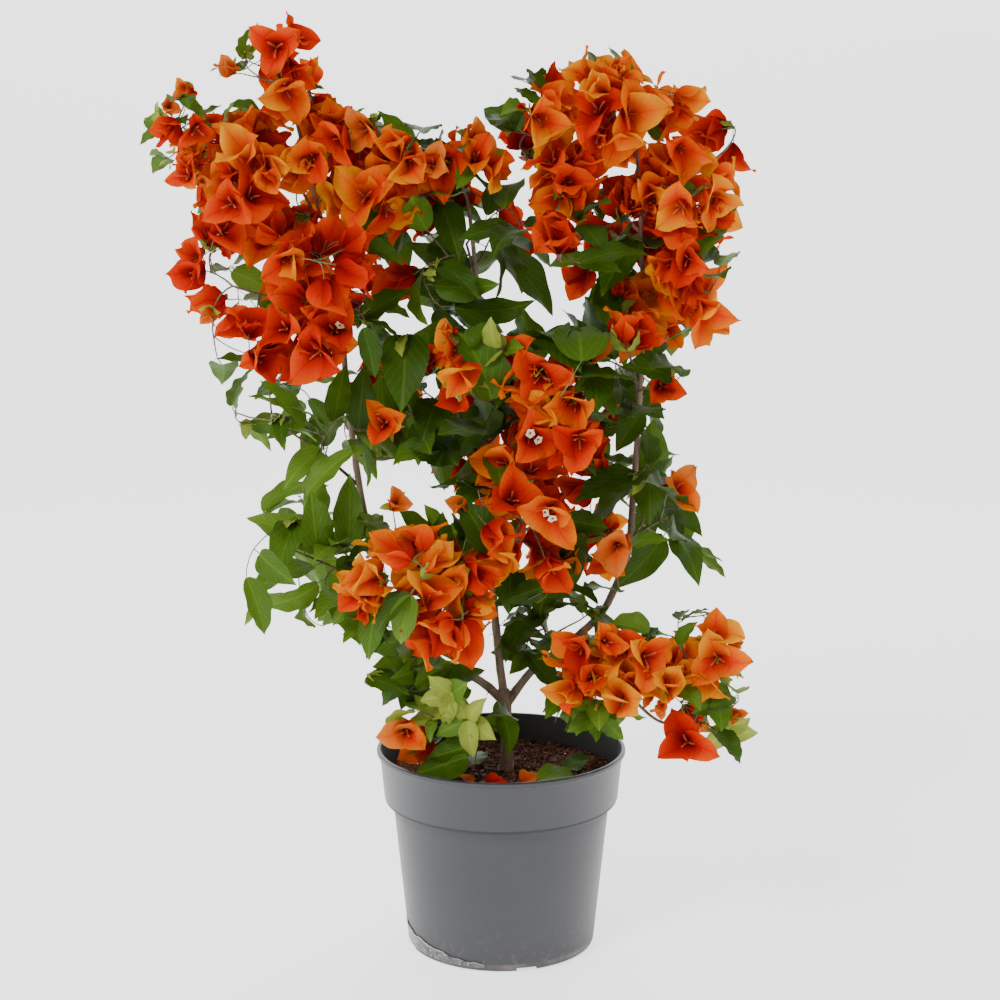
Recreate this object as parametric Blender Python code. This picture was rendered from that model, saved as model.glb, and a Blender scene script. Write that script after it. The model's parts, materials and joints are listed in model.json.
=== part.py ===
"""A bougainvillea in bloom in a nursery pot.

One short trunk stands in the soil of the pot and forks into three boughs that climb side by side. From them
hang masses of leaves and three-lobed blossoms, thickest in two crowns at the top left and the top right.
The origin is the middle of the pot's flat underside. Metres, +Z up, the plant's broad face towards -Y.
"""

import math
import random
from collections import namedtuple

import bmesh
import bpy
from mathutils import Vector
from mathutils.bvhtree import BVHTree

# ---------------------------------------------------------------- driving sizes
POT_HEIGHT = 0.194
POT_RIM_RADIUS = 0.120
POT_FOOT_RADIUS = 0.0905
BAND_HEIGHT = 0.049  # the wide collar under the rim
BAND_FOOT_RADIUS = 0.1129
BAND_STEP = 0.0085  # how far the body stands back from the collar
POT_WALL = 0.0025
POT_FLOOR = 0.006
POT_SIDES = 36
NOTCH_COUNT = 4  # drain notches cut up into the foot
NOTCH_WIDTH = 0.021
NOTCH_HEIGHT = 0.004
NOTCH_DEPTH = 0.005
NOTCH_TURN = math.radians(-74)

SOIL_BELOW_RIM = 0.024
SOIL_DISH = 0.003  # how much lower the soil lies at its edge
GAP = 0.0003  # between neighbouring solids

TRUNK_SIDES = 10
LIMB_SIDES = 6
STEM_SIDES = 4
TWIG_SIDES = 3
LIMB_STEP = 0.034  # length of one straight stretch of a limb
TWIG_RADII = (0.0014, 0.0012, 0.0010)
STEM_FOOT_RADIUS = 0.0019
STEM_TIP_RADIUS = 0.0011
STEM_STRETCHES = 3

LEAF_WIDTH = 0.62  # of its length
LEAF_THICKNESS = 0.03  # of its length
BLOSSOM_LENGTH = 0.045
BLOSSOM_WALL = 0.0035
# The left shoulder, tip and right shoulder of a lobe: the turn about the axis, the lean from the axis and
# the distance from the foot, as a share of the length of the blossom.
LOBE_CORNERS = (
    (math.radians(-43), math.radians(46), 0.70),
    (math.radians(0), math.radians(50), 1.00),
    (math.radians(43), math.radians(46), 0.70),
)

SEEDS = 6  # growths tried for each mass
SHELLS = (0.98, 0.88, 0.76, 0.62, 0.45)  # shares of a mass's reach at which twigs may end
# What a twig that doesn't fit tries in turn: how far its head turns to the front or back, and its size.
HEAD_TRIES = ((0.0, 1.0), (0.8, 0.95), (2.0, 0.9), (0.0, 0.8), (1.0, 0.75))
LEAF_SHARES = (0.55, 0.8)  # where leaves leave a twig. A twig with a blossom has the first or none.
LEAF_TRIES = 8  # turns round the twig that a leaf tries, each a little shorter
LEAST_TWIG = 0.006
TWIG_BEND = 0.45  # share of a twig's length over which it straightens
WELD = 2e-7  # corners nearer than this coincide

FULLNESS = 3.2  # 2 makes a mass's space an ellipsoid, and more makes it boxier
SPACE_MARGIN = 0.0012  # from a leaf to the edge of its mass's space
LIMB_MARGIN = 0.0015  # from a leaf or twig to a limb
WALL_REACH = 0.30  # masses further apart than this don't share a wall
GOLDEN_TURN = math.pi * (3 - math.sqrt(5))
GOLDEN_SHARE = (math.sqrt(5) - 1) / 2

SOIL_TOP = POT_HEIGHT - SOIL_BELOW_RIM

# ---------------------------------------------------------------- the plan of the plant
# A limb leaves its parent at a share of the parent's length and passes through a few places (x, y, z).
Limb = namedtuple("Limb", "name parent share foot_radius tip_radius route")
TRUNK_ROUTE = ((0.005, -0.010, SOIL_TOP + GAP), (0.006, -0.008, 0.200), (0.004, -0.003, 0.228),
               (0.002, 0.000, 0.249))
LIMBS = (
    Limb("trunk", None, 0.0, 0.0058, 0.0055, TRUNK_ROUTE),
    Limb("left_bough_lower", "trunk", 0.86, 0.0044, 0.0037,
          ((-0.022, 0.002, 0.259), (-0.060, 0.008, 0.277), (-0.102, 0.014, 0.322),
           (-0.117, 0.012, 0.363))),
    Limb("left_bough_upper", "left_bough_lower", 1.0, 0.0037, 0.0022,
          ((-0.133, 0.014, 0.433), (-0.145, 0.016, 0.530), (-0.152, 0.022, 0.620),
           (-0.157, 0.020, 0.690))),
    Limb("left_arm", "left_bough_upper", 0.80, 0.0018, 0.0013,
          ((-0.180, 0.026, 0.712), (-0.214, 0.036, 0.748), (-0.256, 0.016, 0.764))),
    Limb("left_top_arm", "left_bough_upper", 0.90, 0.0018, 0.0013,
          ((-0.172, 0.012, 0.715), (-0.183, 0.006, 0.765))),
    Limb("centre_bough_lower", "trunk", 1.0, 0.0042, 0.0033,
          ((-0.003, 0.008, 0.290), (-0.008, 0.014, 0.345), (-0.013, 0.014, 0.440))),
    Limb("centre_bough_upper", "centre_bough_lower", 1.0, 0.0033, 0.0019,
          ((-0.017, 0.016, 0.528), (-0.020, 0.018, 0.610), (-0.030, 0.012, 0.708))),
    Limb("right_bough_lower", "trunk", 0.80, 0.0042, 0.0035,
          ((0.030, 0.003, 0.268), (0.062, 0.008, 0.291), (0.098, 0.012, 0.325),
           (0.119, 0.012, 0.372))),
    Limb("right_bough_upper", "right_bough_lower", 1.0, 0.0035, 0.0019,
          ((0.126, 0.014, 0.440), (0.131, 0.014, 0.540), (0.132, 0.012, 0.640),
           (0.127, 0.006, 0.735))),
    Limb("right_arm", "right_bough_upper", 0.86, 0.0017, 0.0013,
          ((0.108, 0.004, 0.706), (0.078, 0.000, 0.730))),
    Limb("low_right_shoot", "right_bough_lower", 0.66, 0.0019, 0.0013,
          ((0.095, -0.020, 0.292), (0.120, -0.034, 0.256), (0.146, -0.042, 0.232),
           (0.172, -0.045, 0.226))),
)

# A mass keeps to a rounded space round its centre. It grows from a limb, at a share of the limb's length
# (1 is its tip). heads is how many twigs it may bear, bloom the share of them that end in blossom, leaf the
# length of its leaves and bract the colour of its blossoms.
Mass = namedtuple("Mass", "name centre radii limb share heads bloom leaf bract")
MASSES = (
    Mass("left_tip", (-0.196, 0.000, 0.816), (0.066, 0.056, 0.058),
         "left_top_arm", 1.00, 8, 0.80, 0.050, "amber"),
    Mass("left_far", (-0.287, -0.005, 0.765), (0.050, 0.052, 0.062),
         "left_arm", 1.00, 6, 0.60, 0.045, "orange"),
    Mass("left_middle", (-0.219, -0.012, 0.750), (0.060, 0.080, 0.060),
         "left_arm", 0.55, 7, 0.85, 0.050, "orange"),
    Mass("left_upper", (-0.138, 0.010, 0.737), (0.060, 0.082, 0.070),
         "left_bough_upper", 1.00, 9, 0.80, 0.056, "orange"),
    Mass("left_low", (-0.238, -0.010, 0.634), (0.074, 0.085, 0.088),
         "left_bough_upper", 0.70, 9, 0.60, 0.069, "orange"),
    Mass("left_front", (-0.145, -0.035, 0.624), (0.066, 0.088, 0.079),
         "left_bough_upper", 0.72, 9, 0.90, 0.059, "scarlet"),
    Mass("centre_top", (-0.056, 0.000, 0.756), (0.070, 0.072, 0.051),
         "centre_bough_upper", 1.00, 8, 0.60, 0.059, "salmon"),
    Mass("centre_upper", (-0.029, 0.012, 0.663), (0.088, 0.092, 0.084),
         "centre_bough_upper", 0.72, 7, 0.15, 0.071, "scarlet"),
    Mass("right_start", (0.043, -0.005, 0.764), (0.061, 0.082, 0.075),
         "right_arm", 1.00, 9, 0.80, 0.059, "orange"),
    Mass("right_top", (0.118, 0.000, 0.791), (0.068, 0.086, 0.066),
         "right_bough_upper", 1.00, 8, 0.85, 0.059, "amber"),
    Mass("right_side", (0.175, 0.000, 0.737), (0.063, 0.086, 0.075),
         "right_bough_upper", 0.90, 8, 0.90, 0.059, "orange"),
    Mass("right_drop", (0.185, -0.005, 0.633), (0.061, 0.082, 0.070),
         "right_bough_upper", 0.72, 9, 0.80, 0.062, "orange"),
    Mass("right_heart", (0.082, -0.010, 0.677), (0.077, 0.088, 0.055),
         "right_bough_upper", 0.74, 8, 0.50, 0.066, "salmon"),
    Mass("right_waist", (0.123, 0.006, 0.562), (0.066, 0.092, 0.081),
         "right_bough_upper", 0.42, 7, 0.35, 0.073, "salmon"),
    Mass("middle_right", (0.054, -0.028, 0.546), (0.066, 0.086, 0.077),
         "centre_bough_upper", 0.16, 9, 0.55, 0.071, "scarlet"),
    Mass("middle_left", (-0.046, -0.018, 0.529), (0.070, 0.090, 0.079),
         "centre_bough_upper", 0.10, 7, 0.30, 0.073, "orange"),
    Mass("left_waist", (-0.132, 0.010, 0.505), (0.051, 0.072, 0.059),
         "left_bough_upper", 0.34, 5, 0.35, 0.050, "orange"),
    Mass("left_leaves_high", (-0.206, 0.000, 0.505), (0.079, 0.082, 0.073),
         "left_bough_upper", 0.26, 6, 0.00, 0.071, "orange"),
    Mass("left_leaves_low", (-0.176, -0.012, 0.380), (0.079, 0.090, 0.088),
         "left_bough_lower", 0.84, 7, 0.00, 0.081, "orange"),
    Mass("centre_bloom", (0.023, -0.048, 0.415), (0.068, 0.078, 0.081),
         "centre_bough_lower", 0.62, 9, 0.85, 0.062, "scarlet"),
    Mass("front_bloom", (-0.081, -0.052, 0.367), (0.075, 0.078, 0.077),
         "left_bough_lower", 0.78, 9, 0.70, 0.066, "orange"),
    Mass("right_leaves", (0.146, 0.005, 0.412), (0.086, 0.092, 0.099),
         "right_bough_upper", 0.06, 8, 0.20, 0.079, "salmon"),
    Mass("low_bloom_inner", (0.099, -0.040, 0.277), (0.068, 0.070, 0.062),
         "low_right_shoot", 0.40, 8, 0.80, 0.053, "orange"),
    Mass("low_bloom_outer", (0.183, -0.045, 0.260), (0.062, 0.066, 0.081),
         "low_right_shoot", 1.00, 8, 0.75, 0.053, "orange"),
    Mass("low_leaves_left", (-0.084, -0.008, 0.284), (0.070, 0.062, 0.046),
         "left_bough_lower", 0.34, 5, 0.00, 0.054, "orange"),
    Mass("low_leaves_right", (0.043, -0.003, 0.304), (0.053, 0.062, 0.053),
         "right_bough_lower", 0.32, 4, 0.00, 0.054, "orange"),
    Mass("soil_shoots", (-0.043, -0.046, 0.226), (0.066, 0.044, 0.044),
         "trunk", 0.45, 5, 0.10, 0.046, "orange"),
)

COLOURS = {
    "pot_plastic": ((0.17, 0.18, 0.19), 0.5),
    "peat": ((0.05, 0.022, 0.012), 0.95),
    "bark": ((0.17, 0.10, 0.06), 0.85),
    "amber": ((0.86, 0.30, 0.02), 0.6),
    "orange": ((0.85, 0.16, 0.01), 0.6),
    "scarlet": ((0.70, 0.05, 0.01), 0.6),
    "salmon": ((0.78, 0.24, 0.11), 0.6),
    "leaf": ((0.05, 0.13, 0.02), 0.5),
}


# ---------------------------------------------------------------- helpers
def material(owner, kind):
    """The owner's own material of a kind."""
    colour, roughness = COLOURS[kind]
    made = bpy.data.materials.new(f"{owner}_{kind}")
    made.use_nodes = True
    shader = made.node_tree.nodes["Principled BSDF"]
    shader.inputs["Base Color"].default_value = (*colour, 1.0)
    shader.inputs["Roughness"].default_value = roughness
    shader.inputs["Metallic"].default_value = 0.0
    return made


def add_object(name, points, faces, colour, origin, smooth=False):
    """A mesh object from points and faces, with its faces turned outwards and its own origin."""
    mesh = bpy.data.meshes.new(name)
    mesh.from_pydata([tuple(point - origin) for point in points], [], faces)
    work = bmesh.new()
    work.from_mesh(mesh)
    bmesh.ops.recalc_face_normals(work, faces=work.faces)
    work.to_mesh(mesh)
    work.free()
    mesh.materials.append(colour)
    made = bpy.data.objects.new(name, mesh)
    made.location = origin
    bpy.context.scene.collection.objects.link(made)
    if smooth:
        mesh.shade_smooth()
        mesh.set_sharp_from_angle(angle=math.radians(40))
    return made


def turned(name, profile, kind):
    """A solid of revolution about Z, from a profile of (radius, height) that starts and ends on the axis."""
    work = bmesh.new()
    corners = [work.verts.new((radius, 0, height)) for radius, height in profile]
    edges = [work.edges.new(pair) for pair in zip(corners, corners[1:])]
    bmesh.ops.spin(
        work, geom=corners + edges, cent=(0, 0, 0), axis=(0, 0, 1), angle=2 * math.pi, steps=POT_SIDES
    )
    bmesh.ops.remove_doubles(work, verts=work.verts, dist=1e-5)
    bmesh.ops.recalc_face_normals(work, faces=work.faces)
    mesh = bpy.data.meshes.new(name)
    work.to_mesh(mesh)
    work.free()
    mesh.materials.append(material(name, kind))
    mesh.shade_smooth()
    mesh.set_sharp_from_angle(angle=math.radians(40))
    made = bpy.data.objects.new(name, mesh)
    bpy.context.scene.collection.objects.link(made)
    return made


def curve_through(places, before, after, step):
    """Points about a step apart on a smooth curve through places. before and after guide its two ends."""
    guide = [before, *places, after]
    made = [places[0].copy()]
    for a, b, c, d in zip(guide, guide[1:], guide[2:], guide[3:]):
        count = max(1, round((c - b).length / step))
        for i in range(1, count + 1):
            t = i / count
            bend = (2 * a - 5 * b + 4 * c - d) * t**2 + (3 * b - a - 3 * c + d) * t**3
            made.append(0.5 * (2 * b + (c - a) * t + bend))
    return made


def arc(start, bend, end, stretches):
    """Points on the curve that leaves start towards bend and arrives at end."""
    shares = (i / stretches for i in range(stretches + 1))
    return [start * (1 - t) ** 2 + bend * 2 * t * (1 - t) + end * t**2 for t in shares]


def along(points, share):
    """The place and the direction at a share of the way along a line of points."""
    position = share * (len(points) - 1)
    i = min(int(position), len(points) - 2)
    return points[i].lerp(points[i + 1], position - i), (points[i + 1] - points[i]).normalized()


def sideways(direction, hint):
    """A unit vector square to direction, on the side of hint."""
    side = hint - direction * hint.dot(direction)
    if side.length < 1e-4:
        side = direction.orthogonal()
    return side.normalized()


def tube(points, radii, sides, facing=None):
    """Points and faces of a closed tube with flat ends along a line of points. facing turns its first end."""
    corners = []
    side = None
    last = len(points) - 1
    for i, (point, radius) in enumerate(zip(points, radii)):
        direction = (points[min(i + 1, last)] - points[max(i - 1, 0)]).normalized()
        if i == 0 and facing:
            direction = facing
        side = sideways(direction, side if side else direction.orthogonal())
        other = direction.cross(side)
        for k in range(sides):
            turn = 2 * math.pi * k / sides
            corners.append(point + radius * (math.cos(turn) * side + math.sin(turn) * other))
    faces = [tuple(range(sides - 1, -1, -1)), tuple(range(last * sides, (last + 1) * sides))]
    for i in range(last):
        for k in range(sides):
            a, b = i * sides + k, i * sides + (k + 1) % sides
            faces.append((a, b, b + sides, a + sides))
    return corners, faces


# ---------------------------------------------------------------- pot and soil
def pot_profile():
    """The pot's wall in section, from the middle of its underside over the rim to the middle of its floor."""
    band_foot = POT_HEIGHT - BAND_HEIGHT
    body_top = BAND_FOOT_RADIUS - BAND_STEP
    lip = 0.0015
    return (
        (0.0, 0.0),
        (POT_FOOT_RADIUS - 0.004, 0.0),
        (POT_FOOT_RADIUS, 0.003),
        (body_top, band_foot - 0.006),
        (BAND_FOOT_RADIUS - 0.002, band_foot - 0.002),
        (BAND_FOOT_RADIUS, band_foot + 0.001),
        (POT_RIM_RADIUS - 0.003, POT_HEIGHT - 0.006),
        (POT_RIM_RADIUS, POT_HEIGHT - 0.004),
        (POT_RIM_RADIUS, POT_HEIGHT - lip),
        (POT_RIM_RADIUS - lip, POT_HEIGHT),
        (POT_RIM_RADIUS - 0.004, POT_HEIGHT),
        (BAND_FOOT_RADIUS - POT_WALL - 0.001, band_foot + 0.002),
        (body_top - POT_WALL, band_foot - 0.006),
        (POT_FOOT_RADIUS - POT_WALL - 0.001, POT_FLOOR),
        (0.0, POT_FLOOR),
    )


def make_pot():
    pot = turned("pot", pot_profile(), "pot_plastic")
    for i in range(NOTCH_COUNT):
        turn = NOTCH_TURN + 2 * math.pi * i / NOTCH_COUNT
        bpy.ops.mesh.primitive_cube_add(size=1)
        cutter = bpy.context.object
        cutter.name = f"notch_cutter_{i + 1}"
        cutter.dimensions = (2 * NOTCH_DEPTH, NOTCH_WIDTH, 2 * NOTCH_HEIGHT)
        cutter.location = (math.cos(turn) * POT_FOOT_RADIUS, math.sin(turn) * POT_FOOT_RADIUS, 0)
        cutter.rotation_euler = (0, 0, turn)
        cutter.hide_render = True
        cutter.display_type = "WIRE"
        cut = pot.modifiers.new(f"notch_{i + 1}", "BOOLEAN")
        cut.operation = "DIFFERENCE"
        cut.object = cutter
    return pot


def inner_radius(height):
    """The radius of the pot's inside at a height."""
    inside = pot_profile()[-5:-1]
    for (r1, z1), (r0, z0) in zip(inside, inside[1:]):
        if z0 <= height <= z1:
            return r0 + (r1 - r0) * (height - z0) / (z1 - z0)
    return inside[-1][0]


def make_soil():
    """The root ball: it fills the pot, with a level middle that dips a little towards the wall."""
    clearance = GAP / math.cos(math.pi / POT_SIDES) + GAP
    edge = SOIL_TOP - SOIL_DISH
    band_foot = POT_HEIGHT - BAND_HEIGHT
    profile = (
        (0.0, POT_FLOOR + GAP),
        (inner_radius(POT_FLOOR) - clearance - GAP, POT_FLOOR + GAP),
        (inner_radius(band_foot - 0.006) - clearance, band_foot - 0.006),
        (inner_radius(band_foot + 0.002) - clearance - GAP, band_foot + 0.002),
        (inner_radius(edge) - clearance, edge),
        (0.070, SOIL_TOP),
        (0.0, SOIL_TOP),
    )
    return turned("soil", profile, "peat")


# ---------------------------------------------------------------- limbs
def clear_start(parent, share, target, radius):
    """Where a limb of this radius starts, just clear of its parent's side, and its heading towards target."""
    parent_points, parent_radii, _ = parent
    place, _ = along(parent_points, share)
    direction = (target - place).normalized()
    side = sideways(direction, direction.orthogonal())
    other = direction.cross(side)
    turns = [k * math.pi / 6 for k in range(12)]
    foot = [Vector(), *(radius * (math.cos(turn) * side + math.sin(turn) * other) for turn in turns)]
    start = place + direction * radius
    while any(clearance(start + spoke, parent_points, parent_radii) < GAP for spoke in foot):
        start += direction * 0.0001
    return start, direction


def clearance(point, points, radii):
    """The distance from a point to the surface of a round limb."""
    least = math.inf
    for a, b, ra, rb in zip(points, points[1:], radii, radii[1:]):
        span = b - a
        t = min(1.0, max(0.0, (point - a).dot(span) / span.length_squared))
        least = min(least, (point - a - span * t).length - (ra + (rb - ra) * t))
    return least


def trunk_radius(share, limb):
    """The trunk's radius: a root flare at the soil, then a slow taper, and a swelling at the fork."""
    flare = 0.0048 * math.exp(-share / 0.10)
    fork = 0.0016 * math.exp(-(((share - 0.93) / 0.12) ** 2))
    return limb.foot_radius + (limb.tip_radius - limb.foot_radius) * share + flare + fork


def lay_out_limbs():
    """{name: (points, radii, facing of the foot)} of every limb, each starting a gap clear of its parent."""
    laid = {}
    for limb in LIMBS:
        places = [Vector(p) for p in limb.route]
        facing = Vector((0, 0, 1))
        if limb.parent and limb.share == 1.0:
            tip, facing = along(laid[limb.parent][0], 1.0)
            places = [tip + facing * GAP, *places]
        elif limb.parent:
            start, facing = clear_start(laid[limb.parent], limb.share, places[0], limb.foot_radius)
            places = [start, *places]
        before = places[0] - facing * (places[1] - places[0]).length
        after = 2 * places[-1] - places[-2]
        step = LIMB_STEP if limb.parent else LIMB_STEP / 3
        points = curve_through(places, before, after, step)
        shares = [i / (len(points) - 1) for i in range(len(points))]
        if limb.parent:
            radii = [limb.foot_radius + (limb.tip_radius - limb.foot_radius) * s for s in shares]
        else:
            radii = [trunk_radius(s, limb) for s in shares]
        laid[limb.name] = (points, radii, facing)
    return laid


def make_limb(name, points, radii, facing):
    shape = tube(points, radii, TRUNK_SIDES if name == "trunk" else LIMB_SIDES, facing)
    return add_object(name, *shape, material(name, "bark"), points[0], smooth=True)


# ---------------------------------------------------------------- spaces
def reach(mass, direction):
    """How far a mass's rounded space reaches from its centre in a direction."""
    return sum(abs(d / r) ** FULLNESS for d, r in zip(direction, mass.radii)) ** (-1 / FULLNESS)


def walls_of(mass):
    """The planes between a mass and its neighbours, as (normal, offset). Its own side is the low one."""
    walls = []
    centre = Vector(mass.centre)
    for other in MASSES:
        span = Vector(other.centre) - centre
        if other is mass or span.length > WALL_REACH:
            continue
        normal = span.normalized()
        own, far = reach(mass, normal), reach(other, normal)
        offset = (span.length_squared + own**2 - far**2) / (2 * span.length)
        walls.append((normal, normal.dot(centre) + offset))
    return walls


def in_space(mass, walls, point):
    """Whether a point is in the mass's own space, off the pot and the soil."""
    away = point - Vector(mass.centre)
    if sum(abs(d / r) ** FULLNESS for d, r in zip(away, mass.radii)) > 1:
        return False
    if any(normal.dot(point) > offset - SPACE_MARGIN for normal, offset in walls):
        return False
    over_soil = math.hypot(point.x, point.y) < POT_RIM_RADIUS - 0.012
    return point.z > (SOIL_TOP if over_soil else POT_HEIGHT) + 0.002


def guard_of(points, radii, facing):
    """The search tree of a limb or stem with a margin round it."""
    return BVHTree.FromPolygons(*tube(points, [radius + LIMB_MARGIN for radius in radii], 8, facing))


def touches(shape, trees):
    """Whether a shape cuts into any of the shapes whose search trees these are."""
    tree = BVHTree.FromPolygons(*shape)
    return any(tree.overlap(other) for other in trees)


# ---------------------------------------------------------------- leaves and blossoms
# A head is a loop of corners round the edge of a leaf or blossom, and the last corner, which closes the loop.
def leaf_head(root, heading, normal, length):
    """A pointed leaf, folded a little along its middle."""
    across = heading.cross(normal).normalized() * (length * LEAF_WIDTH / 2)
    thickness = normal * (length * LEAF_THICKNESS / 2)
    middle = root + heading * (length * 0.42) - normal * (length * 0.05)
    edge = root + heading * (length * 0.40) + normal * (length * 0.03)
    tip = root + heading * length - normal * (length * 0.06)
    return [middle + thickness, edge + across, middle - thickness, edge - across], tip


def blossom_head(root, axis, roll, length):
    """A cup of three pointed lobes. The last corner is the bottom of the cup."""
    side = sideways(axis, Vector((0.3, 0.2, 1.0)))
    other = axis.cross(side)
    loop = []
    for lobe in range(3):
        for turn, lean, size in LOBE_CORNERS:
            around = roll + lobe * 2 * math.pi / 3 + turn
            out = math.cos(around) * side + math.sin(around) * other
            loop.append(root + (axis * math.cos(lean) + out * math.sin(lean)) * (length * size))
    return loop, root + axis * BLOSSOM_WALL


def fan(first, count, corner):
    """Triangles from a loop of count corners, numbered from first, to one corner."""
    return [(first + i, first + (i + 1) % count, corner) for i in range(count)]


def band(points, lower, upper):
    """Triangles between two loops of corner numbers that run the same way round."""
    middle = sum((points[k] for k in upper), Vector()) / len(upper)
    spoke = points[lower[0]] - sum((points[k] for k in lower), Vector()) / len(lower)
    first = max(range(len(upper)), key=lambda k: (points[upper[k]] - middle).normalized().dot(spoke))
    upper = [*upper[first:], *upper[: first + 1]]
    lower = [*lower, lower[0]]
    i = j = 0
    faces = []
    while i < len(lower) - 1 or j < len(upper) - 1:
        if (i + 0.5) * (len(upper) - 1) < (j + 0.5) * (len(lower) - 1):
            faces.append((lower[i], lower[i + 1], upper[j]))
            i += 1
        else:
            faces.append((lower[i], upper[j + 1], upper[j]))
            j += 1
    return faces


def alone(root, head):
    """A head on its own, with its foot in one point: (points, faces)."""
    loop, last = head
    count = len(loop)
    return [*loop, root, last], fan(0, count, count) + fan(0, count, count + 1)


def twig_with_head(line, head):
    """A twig along a line that opens into its head: (points, faces)."""
    points, faces = tube(line, TWIG_RADII[-len(line) :], TWIG_SIDES)
    del faces[1]
    loop, last = head
    foot = len(points)
    points = [*points, *loop, last]
    ring = list(range(foot - TWIG_SIDES, foot))
    faces += band(points, ring, list(range(foot, foot + len(loop))))
    faces += fan(foot, len(loop), foot + len(loop))
    return points, faces


# ---------------------------------------------------------------- growth of a mass
def even_directions(count, turn):
    """Directions spread evenly over a sphere."""
    for i in range(count):
        height = 1 - (2 * i + 1) / count
        level = math.sqrt(1 - height**2)
        around = GOLDEN_TURN * i + turn
        yield Vector((level * math.cos(around), level * math.sin(around), height))


def stem_of(mass, laid):
    """The mass's stem, from just clear of its limb to the heart of the mass: (points, radii, facing)."""
    points, _, _ = laid[mass.limb]
    centre = Vector(mass.centre)
    place, onward = along(points, mass.share)
    if mass.share == 1.0:
        start, facing = place + onward * GAP, onward
    else:
        target = place.lerp(centre, 0.5) + onward * 0.01
        start, facing = clear_start(laid[mass.limb], mass.share, target, STEM_FOOT_RADIUS)
    bend = start + facing * ((centre - start).length * TWIG_BEND)
    end = centre + (centre - bend).normalized() * (0.15 * min(mass.radii))
    shrink = (STEM_FOOT_RADIUS - STEM_TIP_RADIUS) / STEM_STRETCHES
    radii = [STEM_FOOT_RADIUS - shrink * i for i in range(STEM_STRETCHES + 1)]
    return arc(start, bend, end, STEM_STRETCHES), radii, facing


def entry(mass, walls, stem):
    """The share of the stem's length from which it stays in the mass's own space."""
    shares = [i / 20 for i in range(20)]
    outside = [share for share in shares if not in_space(mass, walls, along(stem, share)[0])]
    return max(outside, default=-0.05) + 0.05


def twig_line(stem, share, target, heading):
    """A twig from a share of the stem's length to its target, which it reaches in the heading of its head."""
    fork, _ = along(stem, share)
    bend = target - heading * ((target - fork).length * TWIG_BEND)
    return arc(fork, bend, target, 2)


def leaf_on(twig, share, turn, outward, length):
    """A leaf at a share of the twig's length, turned round it, drooping outwards: (points, faces)."""
    root, direction = along(twig, share)
    side = sideways(direction, outward + Vector((0, 0, 0.4)))
    other = direction.cross(side)
    spread = math.cos(turn) * side + math.sin(turn) * other
    heading = (direction * 0.5 + spread + outward * 0.6 + Vector((0, 0, -0.25))).normalized()
    normal = sideways(heading, Vector((0, 0, 1)) + outward * 0.8)
    return alone(root, leaf_head(root, heading, normal, length))


def head_at(place, heading, roll, blooms, length):
    """The foot of a head whose outer end is near place, and the head."""
    if blooms:
        root = place - heading * (length * 0.7)
        return root, blossom_head(root, heading, roll, length)
    root = place - heading * (length * 0.9)
    return root, leaf_head(root, heading, sideways(heading, Vector((0, 0, 1)) + heading * 0.5), length)


def places_for_heads(mass, rng):
    """Places for the ends of twigs, evenly spread, the outermost first: (place, outward)."""
    centre = Vector(mass.centre)
    for shell in SHELLS:
        for outward in even_directions(3 * mass.heads, rng.uniform(0, 2 * math.pi)):
            yield centre + outward * (reach(mass, outward) * shell), outward


def best_fork(stem, forks, root, heading):
    """The free place for a twig on the stem that a head with this foot and heading lies straightest off."""
    return max(forks, key=lambda share: (root - along(stem, share)[0]).normalized().dot(heading))


def grow(mass, stem, guards, seed):
    """The twigs with their heads and the other leaves of a mass: (kind, (points, faces)) each."""
    rng = random.Random(f"{mass.name} {seed}")
    walls = walls_of(mass)
    first = entry(mass, walls, stem)
    slots = 2 * mass.heads
    forks = [first + (0.99 - first) * (i + 0.5) / slots for i in range(slots)]
    grown = []
    trees = []

    def fits(shape):
        return all(in_space(mass, walls, point) for point in shape[0]) and not touches(shape, guards)

    def keep(kind, shape):
        grown.append((kind, shape))
        trees.append(BVHTree.FromPolygons(*shape))

    for place, outward in places_for_heads(mass, rng):
        if len(forks) == slots - mass.heads:
            break
        blooms = (len(forks) * GOLDEN_SHARE) % 1 < mass.bloom
        roll = rng.uniform(0, 2 * math.pi)
        tilt = Vector([rng.uniform(-0.25, 0.25) for _ in range(3)])
        front = Vector((0, math.copysign(1, outward.y), 0))
        for turn, size in HEAD_TRIES:
            heading = (outward + front * turn + tilt).normalized()
            length = size * (BLOSSOM_LENGTH if blooms else mass.leaf)
            root, head = head_at(place, heading, roll, blooms, length)
            fork = best_fork(stem, forks, root, heading)
            line = twig_line(stem, fork, root, heading)
            far_enough = (root - line[0]).dot(heading) > LEAST_TWIG
            off_stem = twig_with_head([along(line, 0.15)[0], *line[1:]], head)
            if far_enough and fits(twig_with_head(line, head)) and not touches(off_stem, trees):
                break
        else:
            continue
        forks.remove(fork)
        keep(mass.bract if blooms else "leaf", twig_with_head(line, head))
        trees[-1] = BVHTree.FromPolygons(*alone(root, head))
        for share in LEAF_SHARES[: len(forks) % 2] if blooms else LEAF_SHARES:
            for attempt in range(LEAF_TRIES):
                length = mass.leaf * (1 - 0.05 * attempt)
                leaf = leaf_on(line, share, rng.uniform(0, 2 * math.pi), outward, length)
                if fits(leaf) and not touches(leaf, trees):
                    keep("leaf", leaf)
                    break
        trees.append(BVHTree.FromPolygons(*tube(line, TWIG_RADII, TWIG_SIDES)))
    return grown


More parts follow.
